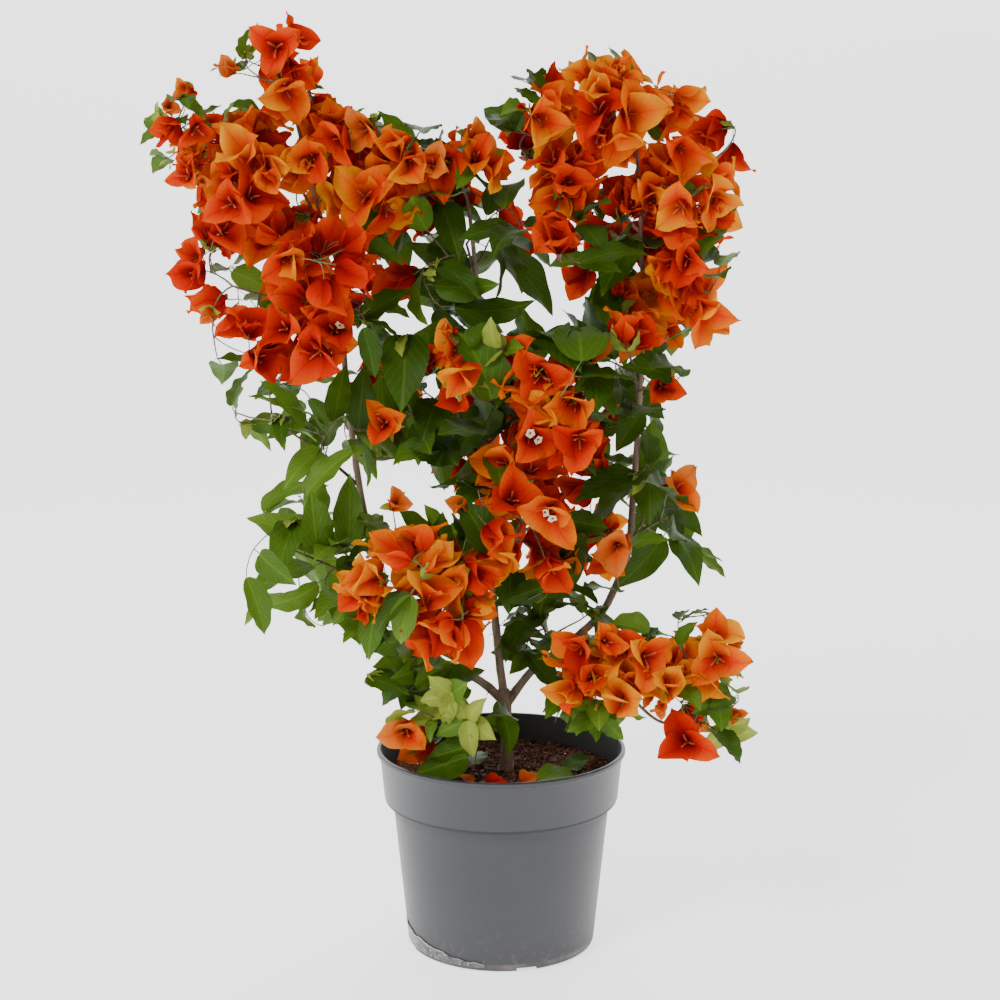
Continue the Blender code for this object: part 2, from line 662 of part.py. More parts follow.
def fuse(base, others):
    """Joins the other objects to base by one Boolean union, and removes them."""
    group = bpy.data.collections.new(base.name + "_pieces")
    bpy.context.scene.collection.children.link(group)
    for piece in others:
        bpy.context.scene.collection.objects.unlink(piece)
        group.objects.link(piece)
    join = base.modifiers.new("join", "BOOLEAN")
    join.operation = "UNION"
    join.solver = "MANIFOLD"
    join.operand_type = "COLLECTION"
    join.collection = group
    bpy.context.view_layer.objects.active = base
    bpy.ops.object.modifier_apply(modifier=join.name)
    for piece in others:
        bpy.data.objects.remove(piece)
    bpy.data.collections.remove(group)


def islands_of(work):
    """The groups of faces that hang together by their edges, the largest last."""
    left = set(work.faces)
    islands = []
    while left:
        island, front = [], [left.pop()]
        while front:
            face = front.pop()
            island.append(face)
            near = {other for edge in face.edges for other in edge.link_faces} & left
            left -= near
            front.extend(near)
        islands.append(island)
    return sorted(islands, key=len)


def clean_up(made):
    """Merges corners that coincide, drops loose scraps, and tells whether one closed body is left."""
    work = bmesh.new()
    work.from_mesh(made.data)
    bmesh.ops.remove_doubles(work, verts=work.verts, dist=WELD)
    scraps = [face for island in islands_of(work)[:-1] for face in island]
    bmesh.ops.delete(work, geom=scraps, context="FACES")
    closed = all(edge.is_manifold for edge in work.edges)
    work.to_mesh(made.data)
    work.free()
    return closed


def make_mass(mass, stems, laid):
    """One mass as one solid: the fullest of a few growths whose pieces fuse cleanly."""
    points, radii, facing = stems[mass.name]
    guards = [guard_of(*line) for name, line in {**laid, **stems}.items() if name != mass.name]
    growths = [grow(mass, points, guards, seed) for seed in range(SEEDS)]
    colours = {kind: material(mass.name, kind) for kind in ("bark", "leaf", mass.bract)}
    for grown in sorted(growths, key=len, reverse=True):
        stem = add_object(mass.name, *tube(points, radii, STEM_SIDES, facing), colours["bark"], points[0])
        for kind in ("leaf", mass.bract):
            stem.data.materials.append(colours[kind])
        fuse(stem, [add_object(f"piece_{kind}", *shape, colours[kind], points[0]) for kind, shape in grown])
        if clean_up(stem):
            return
        bpy.data.objects.remove(stem)


# ---------------------------------------------------------------- the whole
def main():
    for old in list(bpy.data.objects):
        bpy.data.objects.remove(old)
    make_pot()
    make_soil()
    laid = lay_out_limbs()
    for name, line in laid.items():
        make_limb(name, *line)
    stems = {mass.name: stem_of(mass, laid) for mass in MASSES}
    for mass in MASSES:
        make_mass(mass, stems, laid)


main()
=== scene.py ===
"""The looks of a bougainvillea in bloom in a nursery pot.

The trunk, boughs, twigs, leaves and blossoms grow by the same rule and from the same named sizes as the
solids, carried on to finer twigs, real leaves and blossoms of three papery bracts. Metres, +Z up.
"""

import json
import math
import random
from collections import namedtuple

import bmesh
import bpy
import numpy as np
from mathutils import Matrix, Vector, noise
from mathutils.bvhtree import BVHTree

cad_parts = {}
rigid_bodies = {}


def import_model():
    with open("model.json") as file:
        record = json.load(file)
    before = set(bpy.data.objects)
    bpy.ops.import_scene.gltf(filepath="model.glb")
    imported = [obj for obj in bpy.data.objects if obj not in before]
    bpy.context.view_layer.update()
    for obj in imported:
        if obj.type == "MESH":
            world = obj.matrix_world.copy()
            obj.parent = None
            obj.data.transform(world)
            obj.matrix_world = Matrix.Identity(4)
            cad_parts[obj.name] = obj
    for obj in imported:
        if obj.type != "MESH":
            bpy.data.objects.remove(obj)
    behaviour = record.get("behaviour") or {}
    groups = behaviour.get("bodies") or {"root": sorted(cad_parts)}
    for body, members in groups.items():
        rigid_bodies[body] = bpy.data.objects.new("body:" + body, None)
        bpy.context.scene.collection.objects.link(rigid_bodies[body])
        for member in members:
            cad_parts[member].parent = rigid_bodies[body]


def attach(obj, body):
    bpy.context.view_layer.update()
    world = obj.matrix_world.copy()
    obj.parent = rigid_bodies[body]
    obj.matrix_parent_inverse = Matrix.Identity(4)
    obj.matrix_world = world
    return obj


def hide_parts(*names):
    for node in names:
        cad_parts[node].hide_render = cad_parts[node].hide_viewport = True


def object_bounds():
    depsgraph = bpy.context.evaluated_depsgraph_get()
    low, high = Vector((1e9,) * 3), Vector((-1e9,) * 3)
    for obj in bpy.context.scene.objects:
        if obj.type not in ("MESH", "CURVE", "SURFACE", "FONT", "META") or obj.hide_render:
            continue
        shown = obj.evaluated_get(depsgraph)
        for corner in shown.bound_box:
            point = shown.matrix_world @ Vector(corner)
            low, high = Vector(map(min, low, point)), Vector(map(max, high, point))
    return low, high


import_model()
CAD_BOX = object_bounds()

# ---------------------------------------------------------------- sizes of the solids, repeated
POT_HEIGHT = 0.194
POT_RIM_RADIUS = 0.120
POT_FOOT_RADIUS = 0.0905
BAND_HEIGHT = 0.049
BAND_FOOT = POT_HEIGHT - BAND_HEIGHT
BAND_FOOT_RADIUS = 0.1129
BAND_STEP = 0.0085
POT_WALL = 0.0025
POT_FLOOR = 0.006
NOTCH_COUNT = 4
NOTCH_WIDTH = 0.021
NOTCH_HEIGHT = 0.004
NOTCH_DEPTH = 0.012  # deeper than in the solid, so that it reads as a gap
NOTCH_TURN = math.radians(-74)
SOIL_TOP = POT_HEIGHT - 0.024
GAP = 0.0003

STEM_FOOT_RADIUS = 0.0019
STEM_TIP_RADIUS = 0.0011
TWIG_BEND = 0.45  # where a stem or twig bends, as a share of its length
FULLNESS = 3.2  # of a mass's space: 2 is an ellipsoid, and more is nearer to a box
WALL_REACH = 0.30  # masses share a wall if their centres are nearer than this
GOLDEN_TURN = math.pi * (3 - math.sqrt(5))
GOLDEN_SHARE = (math.sqrt(5) - 1) / 2

# A limb leaves its parent at a share of the parent's length and passes through a few places (x, y, z).
Limb = namedtuple("Limb", "name parent share foot_radius tip_radius route")
TRUNK_ROUTE = ((0.005, -0.010, SOIL_TOP + GAP), (0.006, -0.008, 0.200), (0.004, -0.003, 0.228),
               (0.002, 0.000, 0.249))
LIMBS = (
    Limb("trunk", None, 0.0, 0.0058, 0.0055, TRUNK_ROUTE),
    Limb("left_bough_lower", "trunk", 0.86, 0.0044, 0.0037,
         ((-0.022, 0.002, 0.259), (-0.060, 0.008, 0.277), (-0.102, 0.014, 0.322), (-0.117, 0.012, 0.363))),
    Limb("left_bough_upper", "left_bough_lower", 1.0, 0.0037, 0.0022,
         ((-0.133, 0.014, 0.433), (-0.145, 0.016, 0.530), (-0.152, 0.022, 0.620), (-0.157, 0.020, 0.690))),
    Limb("left_arm", "left_bough_upper", 0.80, 0.0018, 0.0013,
         ((-0.180, 0.026, 0.712), (-0.214, 0.036, 0.748), (-0.256, 0.016, 0.764))),
    Limb("left_top_arm", "left_bough_upper", 0.90, 0.0018, 0.0013,
         ((-0.172, 0.012, 0.715), (-0.183, 0.006, 0.765))),
    Limb("centre_bough_lower", "trunk", 1.0, 0.0042, 0.0033,
         ((-0.003, 0.008, 0.290), (-0.008, 0.014, 0.345), (-0.013, 0.014, 0.440))),
    Limb("centre_bough_upper", "centre_bough_lower", 1.0, 0.0033, 0.0019,
         ((-0.017, 0.016, 0.528), (-0.020, 0.018, 0.610), (-0.030, 0.012, 0.708))),
    Limb("right_bough_lower", "trunk", 0.80, 0.0042, 0.0035,
         ((0.030, 0.003, 0.268), (0.062, 0.008, 0.291), (0.098, 0.012, 0.325), (0.119, 0.012, 0.372))),
    Limb("right_bough_upper", "right_bough_lower", 1.0, 0.0035, 0.0019,
         ((0.126, 0.014, 0.440), (0.131, 0.014, 0.540), (0.132, 0.012, 0.640), (0.127, 0.006, 0.735))),
    Limb("right_arm", "right_bough_upper", 0.86, 0.0017, 0.0013,
         ((0.108, 0.004, 0.706), (0.078, 0.000, 0.730))),
    Limb("low_right_shoot", "right_bough_lower", 0.66, 0.0019, 0.0013,
         ((0.095, -0.020, 0.292), (0.120, -0.034, 0.256), (0.146, -0.042, 0.232), (0.172, -0.045, 0.226))),
)

# A mass keeps to a rounded space round its centre. heads is how many blossoms and leafy tips it may bear,
# bloom the share of them that are blossoms, leaf the length of its leaves, bract the tint of its blossoms
# and green the tint of its leaves. Both tints are partly the plant's own colours and partly painted light
# and shade: deeper for masses in the crown's shade, paler for lit ones.
Mass = namedtuple("Mass", "name centre radii limb share heads bloom leaf bract green")
MASSES = (
    Mass("left_tip", (-0.196, 0.000, 0.816), (0.066, 0.056, 0.058),
         "left_top_arm", 1.00, 7, 0.84, 0.040, "amber", "light"),
    Mass("left_far", (-0.287, -0.005, 0.765), (0.050, 0.052, 0.062),
         "left_arm", 1.00, 8, 0.45, 0.030, "orange", "young"),
    Mass("left_middle", (-0.219, -0.012, 0.750), (0.060, 0.080, 0.060),
         "left_arm", 0.55, 10, 0.80, 0.046, "orange", "mid"),
    Mass("left_upper", (-0.138, 0.010, 0.737), (0.060, 0.082, 0.070),
         "left_bough_upper", 1.00, 10, 0.75, 0.050, "orange", "dark"),
    Mass("left_low", (-0.238, -0.010, 0.634), (0.074, 0.085, 0.088),
         "left_bough_upper", 0.70, 15, 0.62, 0.054, "orange", "mid"),
    Mass("left_front", (-0.145, -0.035, 0.624), (0.066, 0.088, 0.079),
         "left_bough_upper", 0.72, 15, 0.85, 0.052, "scarlet", "dark"),
    Mass("centre_top", (-0.056, 0.000, 0.756), (0.070, 0.072, 0.051),
         "centre_bough_upper", 1.00, 10, 0.50, 0.056, "orange", "dark"),
    Mass("centre_upper", (-0.029, 0.012, 0.663), (0.088, 0.092, 0.084),
         "centre_bough_upper", 0.72, 17, 0.10, 0.084, "scarlet", "dark"),
    Mass("right_start", (0.043, -0.005, 0.764), (0.061, 0.082, 0.075),
         "right_arm", 1.00, 9, 0.50, 0.052, "orange", "dark"),
    Mass("right_top", (0.118, 0.000, 0.791), (0.068, 0.086, 0.066),
         "right_bough_upper", 1.00, 10, 0.80, 0.046, "amber", "mid"),
    Mass("right_side", (0.175, 0.000, 0.737), (0.063, 0.086, 0.075),
         "right_bough_upper", 0.90, 9, 0.70, 0.050, "orange", "mid"),
    Mass("right_drop", (0.185, -0.005, 0.633), (0.061, 0.082, 0.070),
         "right_bough_upper", 0.72, 8, 0.50, 0.052, "amber", "mid"),
    Mass("right_heart", (0.082, -0.010, 0.677), (0.077, 0.088, 0.055),
         "right_bough_upper", 0.74, 12, 0.15, 0.066, "scarlet", "dark"),
    Mass("right_waist", (0.123, 0.006, 0.562), (0.066, 0.092, 0.081),
         "right_bough_upper", 0.42, 13, 0.12, 0.076, "salmon", "dark"),
    Mass("middle_right", (0.054, -0.028, 0.546), (0.066, 0.086, 0.077),
         "centre_bough_upper", 0.16, 16, 0.40, 0.078, "scarlet", "dark"),
    Mass("middle_left", (-0.046, -0.018, 0.529), (0.070, 0.090, 0.079),
         "centre_bough_upper", 0.10, 16, 0.22, 0.078, "orange", "dark"),
    Mass("left_waist", (-0.132, 0.010, 0.505), (0.051, 0.072, 0.059),
         "left_bough_upper", 0.34, 9, 0.25, 0.056, "orange", "mid"),
    Mass("left_leaves_high", (-0.206, 0.000, 0.505), (0.079, 0.082, 0.073),
         "left_bough_upper", 0.26, 10, 0.00, 0.066, "orange", "mid"),
    Mass("left_leaves_low", (-0.176, -0.012, 0.380), (0.079, 0.090, 0.088),
         "left_bough_lower", 0.84, 13, 0.00, 0.076, "orange", "light"),
    Mass("centre_bloom", (0.023, -0.048, 0.415), (0.068, 0.078, 0.081),
         "centre_bough_lower", 0.62, 22, 0.60, 0.056, "scarlet", "dark"),
    Mass("front_bloom", (-0.081, -0.052, 0.367), (0.075, 0.078, 0.077),
         "left_bough_lower", 0.78, 25, 0.60, 0.054, "amber", "mid"),
    Mass("right_leaves", (0.146, 0.005, 0.412), (0.086, 0.092, 0.099),
         "right_bough_upper", 0.06, 13, 0.10, 0.080, "salmon", "dark"),
    Mass("low_bloom_inner", (0.099, -0.040, 0.277), (0.068, 0.070, 0.062),
         "low_right_shoot", 0.40, 21, 0.70, 0.042, "orange", "mid"),
    Mass("low_bloom_outer", (0.183, -0.045, 0.260), (0.062, 0.066, 0.081),
         "low_right_shoot", 1.00, 16, 0.70, 0.036, "amber", "mid"),
    Mass("low_leaves_left", (-0.084, -0.008, 0.284), (0.070, 0.062, 0.046),
         "left_bough_lower", 0.34, 9, 0.00, 0.054, "orange", "mid"),
    Mass("low_leaves_right", (0.043, -0.003, 0.304), (0.053, 0.062, 0.053),
         "right_bough_lower", 0.32, 8, 0.00, 0.056, "orange", "dark"),
    Mass("soil_shoots", (-0.043, -0.046, 0.226), (0.066, 0.044, 0.044),
         "trunk", 0.45, 6, 0.00, 0.054, "salmon", "young"),
)
MASS_NAMES = [mass.name for mass in MASSES]

# Shoots that stand clear in the photo grow first, each as (x, y, z, length, tint): a single blossom or bud,
# or pale young leaves where there is no tint.
LONE_SHOOTS = {
    "left_far": (
        (-0.318, -0.020, 0.795, 0.017, None), (-0.287, -0.010, 0.812, 0.024, "salmon"),
        (-0.300, -0.020, 0.800, 0.018, "salmon"),
    ),
    "left_tip": (
        (-0.228, -0.010, 0.861, 0.019, None), (-0.248, -0.030, 0.835, 0.022, "salmon"),
    ),
    "left_low": (
        (-0.286, -0.030, 0.647, 0.036, "scarlet"), (-0.270, -0.020, 0.608, 0.020, "salmon"),
    ),
    "centre_top": (
        (-0.126, -0.045, 0.778, 0.033, "salmon"), (-0.063, -0.060, 0.748, 0.030, "salmon"),
        (-0.021, -0.030, 0.772, 0.034, "salmon"),
    ),
    "right_start": ((0.045, -0.070, 0.689, 0.042, "flame"),),
    "middle_left": (
        (-0.041, -0.085, 0.540, 0.042, "flame"), (-0.069, -0.060, 0.575, 0.030, "scarlet"),
        (-0.028, -0.095, 0.566, 0.028, None),
    ),
    "middle_right": (
        (-0.014, -0.090, 0.585, 0.032, None), (0.010, -0.080, 0.570, 0.026, None),
        (0.085, -0.060, 0.586, 0.034, "salmon"), (0.069, -0.080, 0.496, 0.030, "salmon"),
        (0.029, -0.100, 0.502, 0.042, "flame"), (0.038, -0.095, 0.532, 0.036, "amber"),
    ),
    "front_bloom": (
        (-0.093, -0.090, 0.448, 0.024, "salmon"), (-0.078, -0.105, 0.409, 0.039, "amber"),
        (-0.073, -0.100, 0.342, 0.040, "orange"), (-0.038, -0.085, 0.338, 0.039, "amber"),
        (-0.123, -0.085, 0.366, 0.038, "amber"),
    ),
    "centre_bloom": (
        (-0.041, -0.100, 0.446, 0.024, "salmon"), (0.043, -0.112, 0.437, 0.044, "orange"),
        (0.013, -0.105, 0.458, 0.040, "flame"), (-0.002, -0.105, 0.394, 0.036, "amber"),
        (0.048, -0.100, 0.380, 0.040, "orange"),
    ),
    "right_leaves": (
        (0.167, -0.040, 0.455, 0.040, "salmon"), (0.097, -0.050, 0.387, 0.028, "flame"),
    ),
    "right_waist": ((0.148, -0.040, 0.548, 0.034, "flame"),),
    "soil_shoots": (
        (-0.089, -0.060, 0.223, 0.034, "salmon"), (-0.052, -0.075, 0.257, 0.034, None),
        (-0.036, -0.080, 0.236, 0.034, None), (-0.071, -0.060, 0.246, 0.032, None),
    ),
    "low_bloom_outer": (
        (0.219, -0.050, 0.238, 0.024, "salmon"), (0.213, -0.050, 0.209, 0.034, None),
        (0.171, -0.060, 0.219, 0.038, "flame"),
    ),
}

# ---------------------------------------------------------------- the crown as the photo shows it
# Each (x, z) is where the photo's eye sees it on the upright plane through the plant's middle, y = 0.
EYE = Vector((-0.0011, -1.866, 0.752))
# The outline that the crown keeps to.
OUTLINE = (
    (-0.334, 0.802), (-0.312, 0.808), (-0.284, 0.820), (-0.264, 0.831), (-0.247, 0.840), (-0.242, 0.856),
    (-0.218, 0.872), (-0.192, 0.877), (-0.165, 0.865), (-0.156, 0.842), (-0.147, 0.820), (-0.129, 0.806),
    (-0.111, 0.790), (-0.100, 0.779), (-0.070, 0.781), (-0.047, 0.781), (-0.030, 0.795), (-0.006, 0.801),
    (0.010, 0.810), (0.015, 0.826), (0.040, 0.837), (0.067, 0.842), (0.095, 0.853), (0.116, 0.838),
    (0.145, 0.835), (0.173, 0.820), (0.200, 0.799), (0.221, 0.770), (0.227, 0.743), (0.224, 0.716),
    (0.226, 0.688), (0.242, 0.659), (0.239, 0.623), (0.234, 0.592), (0.210, 0.573), (0.186, 0.571),
    (0.175, 0.560), (0.172, 0.530), (0.161, 0.509), (0.163, 0.483), (0.182, 0.471), (0.195, 0.454),
    (0.190, 0.425), (0.194, 0.401), (0.216, 0.359), (0.211, 0.338), (0.223, 0.310), (0.231, 0.279),
    (0.236, 0.249), (0.247, 0.234), (0.240, 0.202), (0.233, 0.173), (0.192, 0.177), (0.156, 0.175),
    (0.134, 0.188), (0.121, 0.188), (0.117, 0.149), (-0.118, 0.149), (-0.123, 0.195), (-0.121, 0.233),
    (-0.143, 0.255), (-0.151, 0.281), (-0.168, 0.301), (-0.193, 0.305), (-0.229, 0.303), (-0.254, 0.297),
    (-0.247, 0.333), (-0.235, 0.377), (-0.236, 0.411), (-0.224, 0.440), (-0.211, 0.454), (-0.220, 0.475),
    (-0.244, 0.488), (-0.255, 0.519), (-0.267, 0.537), (-0.282, 0.556), (-0.276, 0.581), (-0.288, 0.603),
    (-0.314, 0.640), (-0.292, 0.674), (-0.282, 0.695), (-0.298, 0.714), (-0.324, 0.706), (-0.330, 0.738),
    (-0.337, 0.770),
)
# Where blossoms show: (x, z, half width, half height).
BLOOM_ZONES = (
    (-0.195, 0.828, 0.051, 0.046), (-0.299, 0.754, 0.028, 0.036), (-0.227, 0.741, 0.061, 0.047),
    (-0.144, 0.723, 0.052, 0.058), (-0.253, 0.659, 0.048, 0.042), (-0.291, 0.646, 0.020, 0.018),
    (-0.167, 0.631, 0.067, 0.068), (-0.210, 0.575, 0.034, 0.024), (-0.091, 0.748, 0.024, 0.029),
    (-0.021, 0.770, 0.022, 0.023), (-0.066, 0.743, 0.017, 0.015), (0.014, 0.736, 0.024, 0.038),
    (0.048, 0.686, 0.028, 0.031), (0.092, 0.779, 0.072, 0.066), (0.172, 0.741, 0.054, 0.058),
    (0.142, 0.800, 0.042, 0.032), (0.190, 0.635, 0.050, 0.059), (0.129, 0.623, 0.018, 0.033),
    (0.081, 0.644, 0.014, 0.018), (0.041, 0.562, 0.036, 0.028), (0.090, 0.581, 0.019, 0.017),
    (-0.043, 0.530, 0.021, 0.024), (-0.071, 0.570, 0.013, 0.015), (0.037, 0.506, 0.032, 0.042),
    (0.072, 0.484, 0.017, 0.017), (0.018, 0.414, 0.053, 0.073), (-0.085, 0.375, 0.040, 0.044),
    (-0.127, 0.346, 0.027, 0.021), (-0.058, 0.316, 0.044, 0.033), (0.171, 0.448, 0.021, 0.019),
    (0.106, 0.267, 0.060, 0.045), (0.187, 0.277, 0.042, 0.039), (0.177, 0.202, 0.023, 0.024),
    (0.226, 0.223, 0.013, 0.018), (-0.092, 0.205, 0.019, 0.016), (-0.112, 0.505, 0.024, 0.017),
    (0.100, 0.377, 0.013, 0.015), (-0.273, 0.607, 0.009, 0.009), (0.152, 0.543, 0.013, 0.019),
)
# The larger gaps where the sky shows through: (x, z, radius).
OPENINGS = (
    (0.148, 0.336, 0.022), (0.047, 0.630, 0.018), (0.129, 0.359, 0.015), (0.031, 0.245, 0.014),
    (0.010, 0.623, 0.010), (0.022, 0.651, 0.011), (-0.022, 0.237, 0.011), (-0.018, 0.283, 0.010),
    (0.061, 0.315, 0.012), (-0.085, 0.451, 0.012), (-0.112, 0.448, 0.011), (-0.109, 0.423, 0.010),
    (-0.098, 0.600, 0.011), (-0.001, 0.607, 0.010), (-0.194, 0.768, 0.011), (-0.228, 0.820, 0.012),
    (-0.259, 0.812, 0.013), (0.158, 0.234, 0.012), (0.131, 0.209, 0.011), (0.182, 0.346, 0.015),
    (-0.219, 0.527, 0.012), (-0.197, 0.467, 0.012), (-0.258, 0.577, 0.014), (0.040, 0.261, 0.010),
    (-0.146, 0.463, 0.010), (-0.228, 0.367, 0.010), (0.114, 0.318, 0.009),
)

# ---------------------------------------------------------------- sizes of the finer growth
LINE_STEP = 0.003  # between the points of a limb's line
TWIG_RADIUS = 0.0011
GREEN_RADIUS = 0.0008  # a twig thinner than this at its fork is still green
TIP_RADIUS = 0.0005
KNOB_STEP = 14  # points of a bough's line from one knob to the next
THORN_STEP = 13
THORN_LENGTH = 0.0055

BRACT_LENGTH = 0.041
BRACT_SCALES = {"left_far": 0.74, "low_bloom_outer": 0.9, "soil_shoots": 0.85, "left_tip": 0.95}
# Shares of a bract's or leaf's own length.
BRACT_WIDTH = 0.74
BRACT_RUFFLE = 0.074
BRACT_CRUMPLE = 0.028
BRACT_MIDRIB = 0.022
LEAF_WIDTH = 0.57
LEAF_WAVE = 0.028
LEAF_STALK = 0.16
LEAF_MIDDLE = 0.45
LEAF_SLIMNESS = {"left_leaves_high": 0.72, "left_leaves_low": 0.84, "left_waist": 0.74, "left_low": 0.8,
                 "centre_upper": 0.82, "right_leaves": 0.8, "right_heart": 0.85}  # of that width
LEAF_SPACING = {"dark": 0.30, "mid": 0.33, "light": 0.36, "young": 0.30}  # between the middles of leaves

TUBE_LENGTH = 0.016  # of the slim flowers inside a blossom
STAR_RADIUS = 0.0048
STAR_NOTCH = 0.21  # between its lobes, of its radius
STAR_SHARE = 0.006  # of the slim flowers that are open, where a mass isn't named here
STAR_SHARES = {"left_front": 0.06, "middle_right": 0.02, "centre_bloom": 0.03}
BUD_LENGTHS = (0.011, 0.017)
BUD_LIMIT = 0.025  # a shorter blossom is a bud, and shows no flowers
BUD_SPRAYS = 0.3  # the share of sprays that have buds and a young tip

# A head is a twig's end, with a blossom or a leaf. It is tried as (turn to the front, scale) until it fits.
HEAD_TRIES = ((0.0, 1.0), (0.7, 1.0), (1.6, 0.95), (0.3, 0.9), (1.0, 0.85))
HEAD_TILT = 1.05  # how far a head may turn from straight outward
SHELLS = (0.92, 0.80, 0.68, 0.54, 0.38)  # how far out heads stand, of the mass's reach
SPRAY_SIZES = (1, 3, 2, 3, 1, 2)  # blossoms beside the one at the twig's end
HUB_DEPTH = 0.010  # how far below that one a spray parts
OPENNESS = (0.12, 0.28, 0.4, 0.5, 0.58, 0.68, 0.85)  # of blossoms: 0 is shut and 1 wide open
HEAD_SQUEEZE = 0.88  # blossoms may mingle this much
SPRAY_SQUEEZE = 0.74  # and this much in one spray
BLOOM_FRONT = 0.025  # what stands before this y shows from the front
LEAF_FRONT = 0.01  # a leaf before this y may hide a blossom
OVERHANG = 0.010  # how far leaves cross the wall between two masses
REACH_OVER_BOX = 0.002  # how far they may pass the solids' box
SPACE_LIMIT = 1.25  # of a mass's rounded space, where 1 is its own edge
RIM_WIDTH = 0.012  # of the ring along the pot's rim that growth stays above
GROUND_ROOM = 0.004  # between the soil or the pot and what grows over it
CROWD_LIMIT = 8000  # the most shapes that can grow

FILM_TURNS = (-174, -100)  # of the label's remains round the pot, in degrees
FILM_HEIGHTS = (0.027, 0.0075)  # of its torn upper edge, at each end
FILM_FOOT = 0.0042
BAND_LEAN = 0.11  # how far the wall of the pot's band leans outward over its height
SOIL_SLACK = 0.0008  # between the soil and the pot's wall

# Each mass's pool of bract tints: scarlet and flame are partly painted shade and amber partly painted light,
# beside the bracts' own range of colour.
BLOSSOM_TINTS = {
    "amber": ("amber", "orange", "amber", "flame", "amber", "orange"),
    "orange": ("orange", "flame", "amber", "orange", "flame", "orange", "scarlet", "orange", "flame"),
    "scarlet": ("scarlet", "flame", "scarlet", "orange", "scarlet"),
    "salmon": ("salmon", "salmon", "orange", "salmon", "flame"),
}
# Lighter and darker tints beside each tint, which some bracts of a blossom take: painted light and shade that
# sets bracts apart as lit or shaded.
BRACT_NEIGHBOURS = {
    "amber": ("orange",),
    "orange": ("amber", "flame"),
    "flame": ("orange", "scarlet", "scarlet"),
    "scarlet": ("flame",),
    "salmon": ("salmon", "orange"),
}
NEIGHBOUR_SHARE = 0.45  # of a blossom's bracts that take a neighbour of its tint
# Leaf tints of each mass: dark is partly painted shade deep in the crown, light partly painted light on the
# lit left side; young is the pale colour of new leaves.
LEAF_TINTS = {
    "dark": ("dark", "dark", "dark", "mid"),
    "mid": ("mid", "dark", "mid", "light"),
    "light": ("light", "mid", "light", "mid"),
    "young": ("light", "mid", "young", "mid"),
}


# ---------------------------------------------------------------- lines and directions
def curve_through(places, before, after, step):
    """Points about a step apart on a smooth curve through places. before and after guide its two ends."""
    guide = [before, *places, after]
    made = [places[0].copy()]
    for a, b, c, d in zip(guide, guide[1:], guide[2:], guide[3:]):
        count = max(1, round((c - b).length / step))
        for i in range(1, count + 1):
            t = i / count
            bend = (2 * a - 5 * b + 4 * c - d) * t**2 + (3 * b - a - 3 * c + d) * t**3
            made.append(0.5 * (2 * b + (c - a) * t + bend))
    return made


def arc(start, bend, end, stretches):
    """Points on the curve that leaves start towards bend and arrives at end."""
    shares = (i / stretches for i in range(stretches + 1))
    return [start * (1 - t) ** 2 + bend * 2 * t * (1 - t) + end * t**2 for t in shares]


def along(points, share):
    """The place and the direction at a share of the way along a line of points."""
    position = share * (len(points) - 1)
    i = min(int(position), len(points) - 2)
    return points[i].lerp(points[i + 1], position - i), (points[i + 1] - points[i]).normalized()


def sideways(direction, hint):
    """A unit vector square to direction, on the side of hint."""
    side = hint - direction * hint.dot(direction)
    if side.length < 1e-4:
        side = direction.orthogonal()
    return side.normalized()


def compass(axis, hint):
    """A function from a turn round axis to the direction square to axis there, with 0 on the side of hint."""
    side = sideways(axis, hint)
    other = axis.cross(side)
    return lambda turn: math.cos(turn) * side + math.sin(turn) * other


def turns_of(count):
    """Even turns round a circle."""
    return [2 * math.pi * k / count for k in range(count)]


def scatter(rng, size):
    """A random vector, up to size along each axis."""
    return Vector([rng.uniform(-size, size) for _ in range(3)])


def even_directions(count, turn):
    """Directions spread evenly over a sphere."""
    for i in range(count):
        height = 1 - (2 * i + 1) / count
        level = math.sqrt(1 - height**2)
        around = GOLDEN_TURN * i + turn
        yield Vector((level * math.cos(around), level * math.sin(around), height))


def mixed_directions(count, turn):
    """The same directions in an order that jumps about the sphere, so that any first few are spread too."""
    directions = list(even_directions(count, turn))
    order = sorted(range(count), key=lambda i: (i * GOLDEN_SHARE) % 1)
    return [directions[i] for i in order]


# ---------------------------------------------------------------- joined meshes
def ring_faces(rings, sides):
    """Quads between rings of corners, each ring numbered after the one before."""
    k = np.arange(sides)
    first = np.stack([k, (k + 1) % sides, (k + 1) % sides + sides, k + sides], axis=1)
    return (first[None] + np.arange(rings - 1)[:, None, None] * sides).reshape(-1, 4)


def grid_faces(rows, columns):
    """Quads of a sheet of rows by columns of cells."""
    j, i = np.meshgrid(np.arange(rows), np.arange(columns), indexing="ij")
    a = (j * (columns + 1) + i).ravel()
    return np.stack([a, a + 1, a + columns + 2, a + columns + 1], axis=1)


def swept(line, radii, sides):
    """Corners of a round limb along a line of points, ring by ring. Its rings don't twist."""
    corners = []
    side = None
    last = len(line) - 1
    for i, (point, radius) in enumerate(zip(line, radii)):
        direction = (line[min(i + 1, last)] - line[max(i - 1, 0)]).normalized()
        side = sideways(direction, side if side else direction.orthogonal())
        other = direction.cross(side)
        for turn in turns_of(sides):
            corners.append(point + radius * (math.cos(turn) * side + math.sin(turn) * other))
    return np.array(corners)


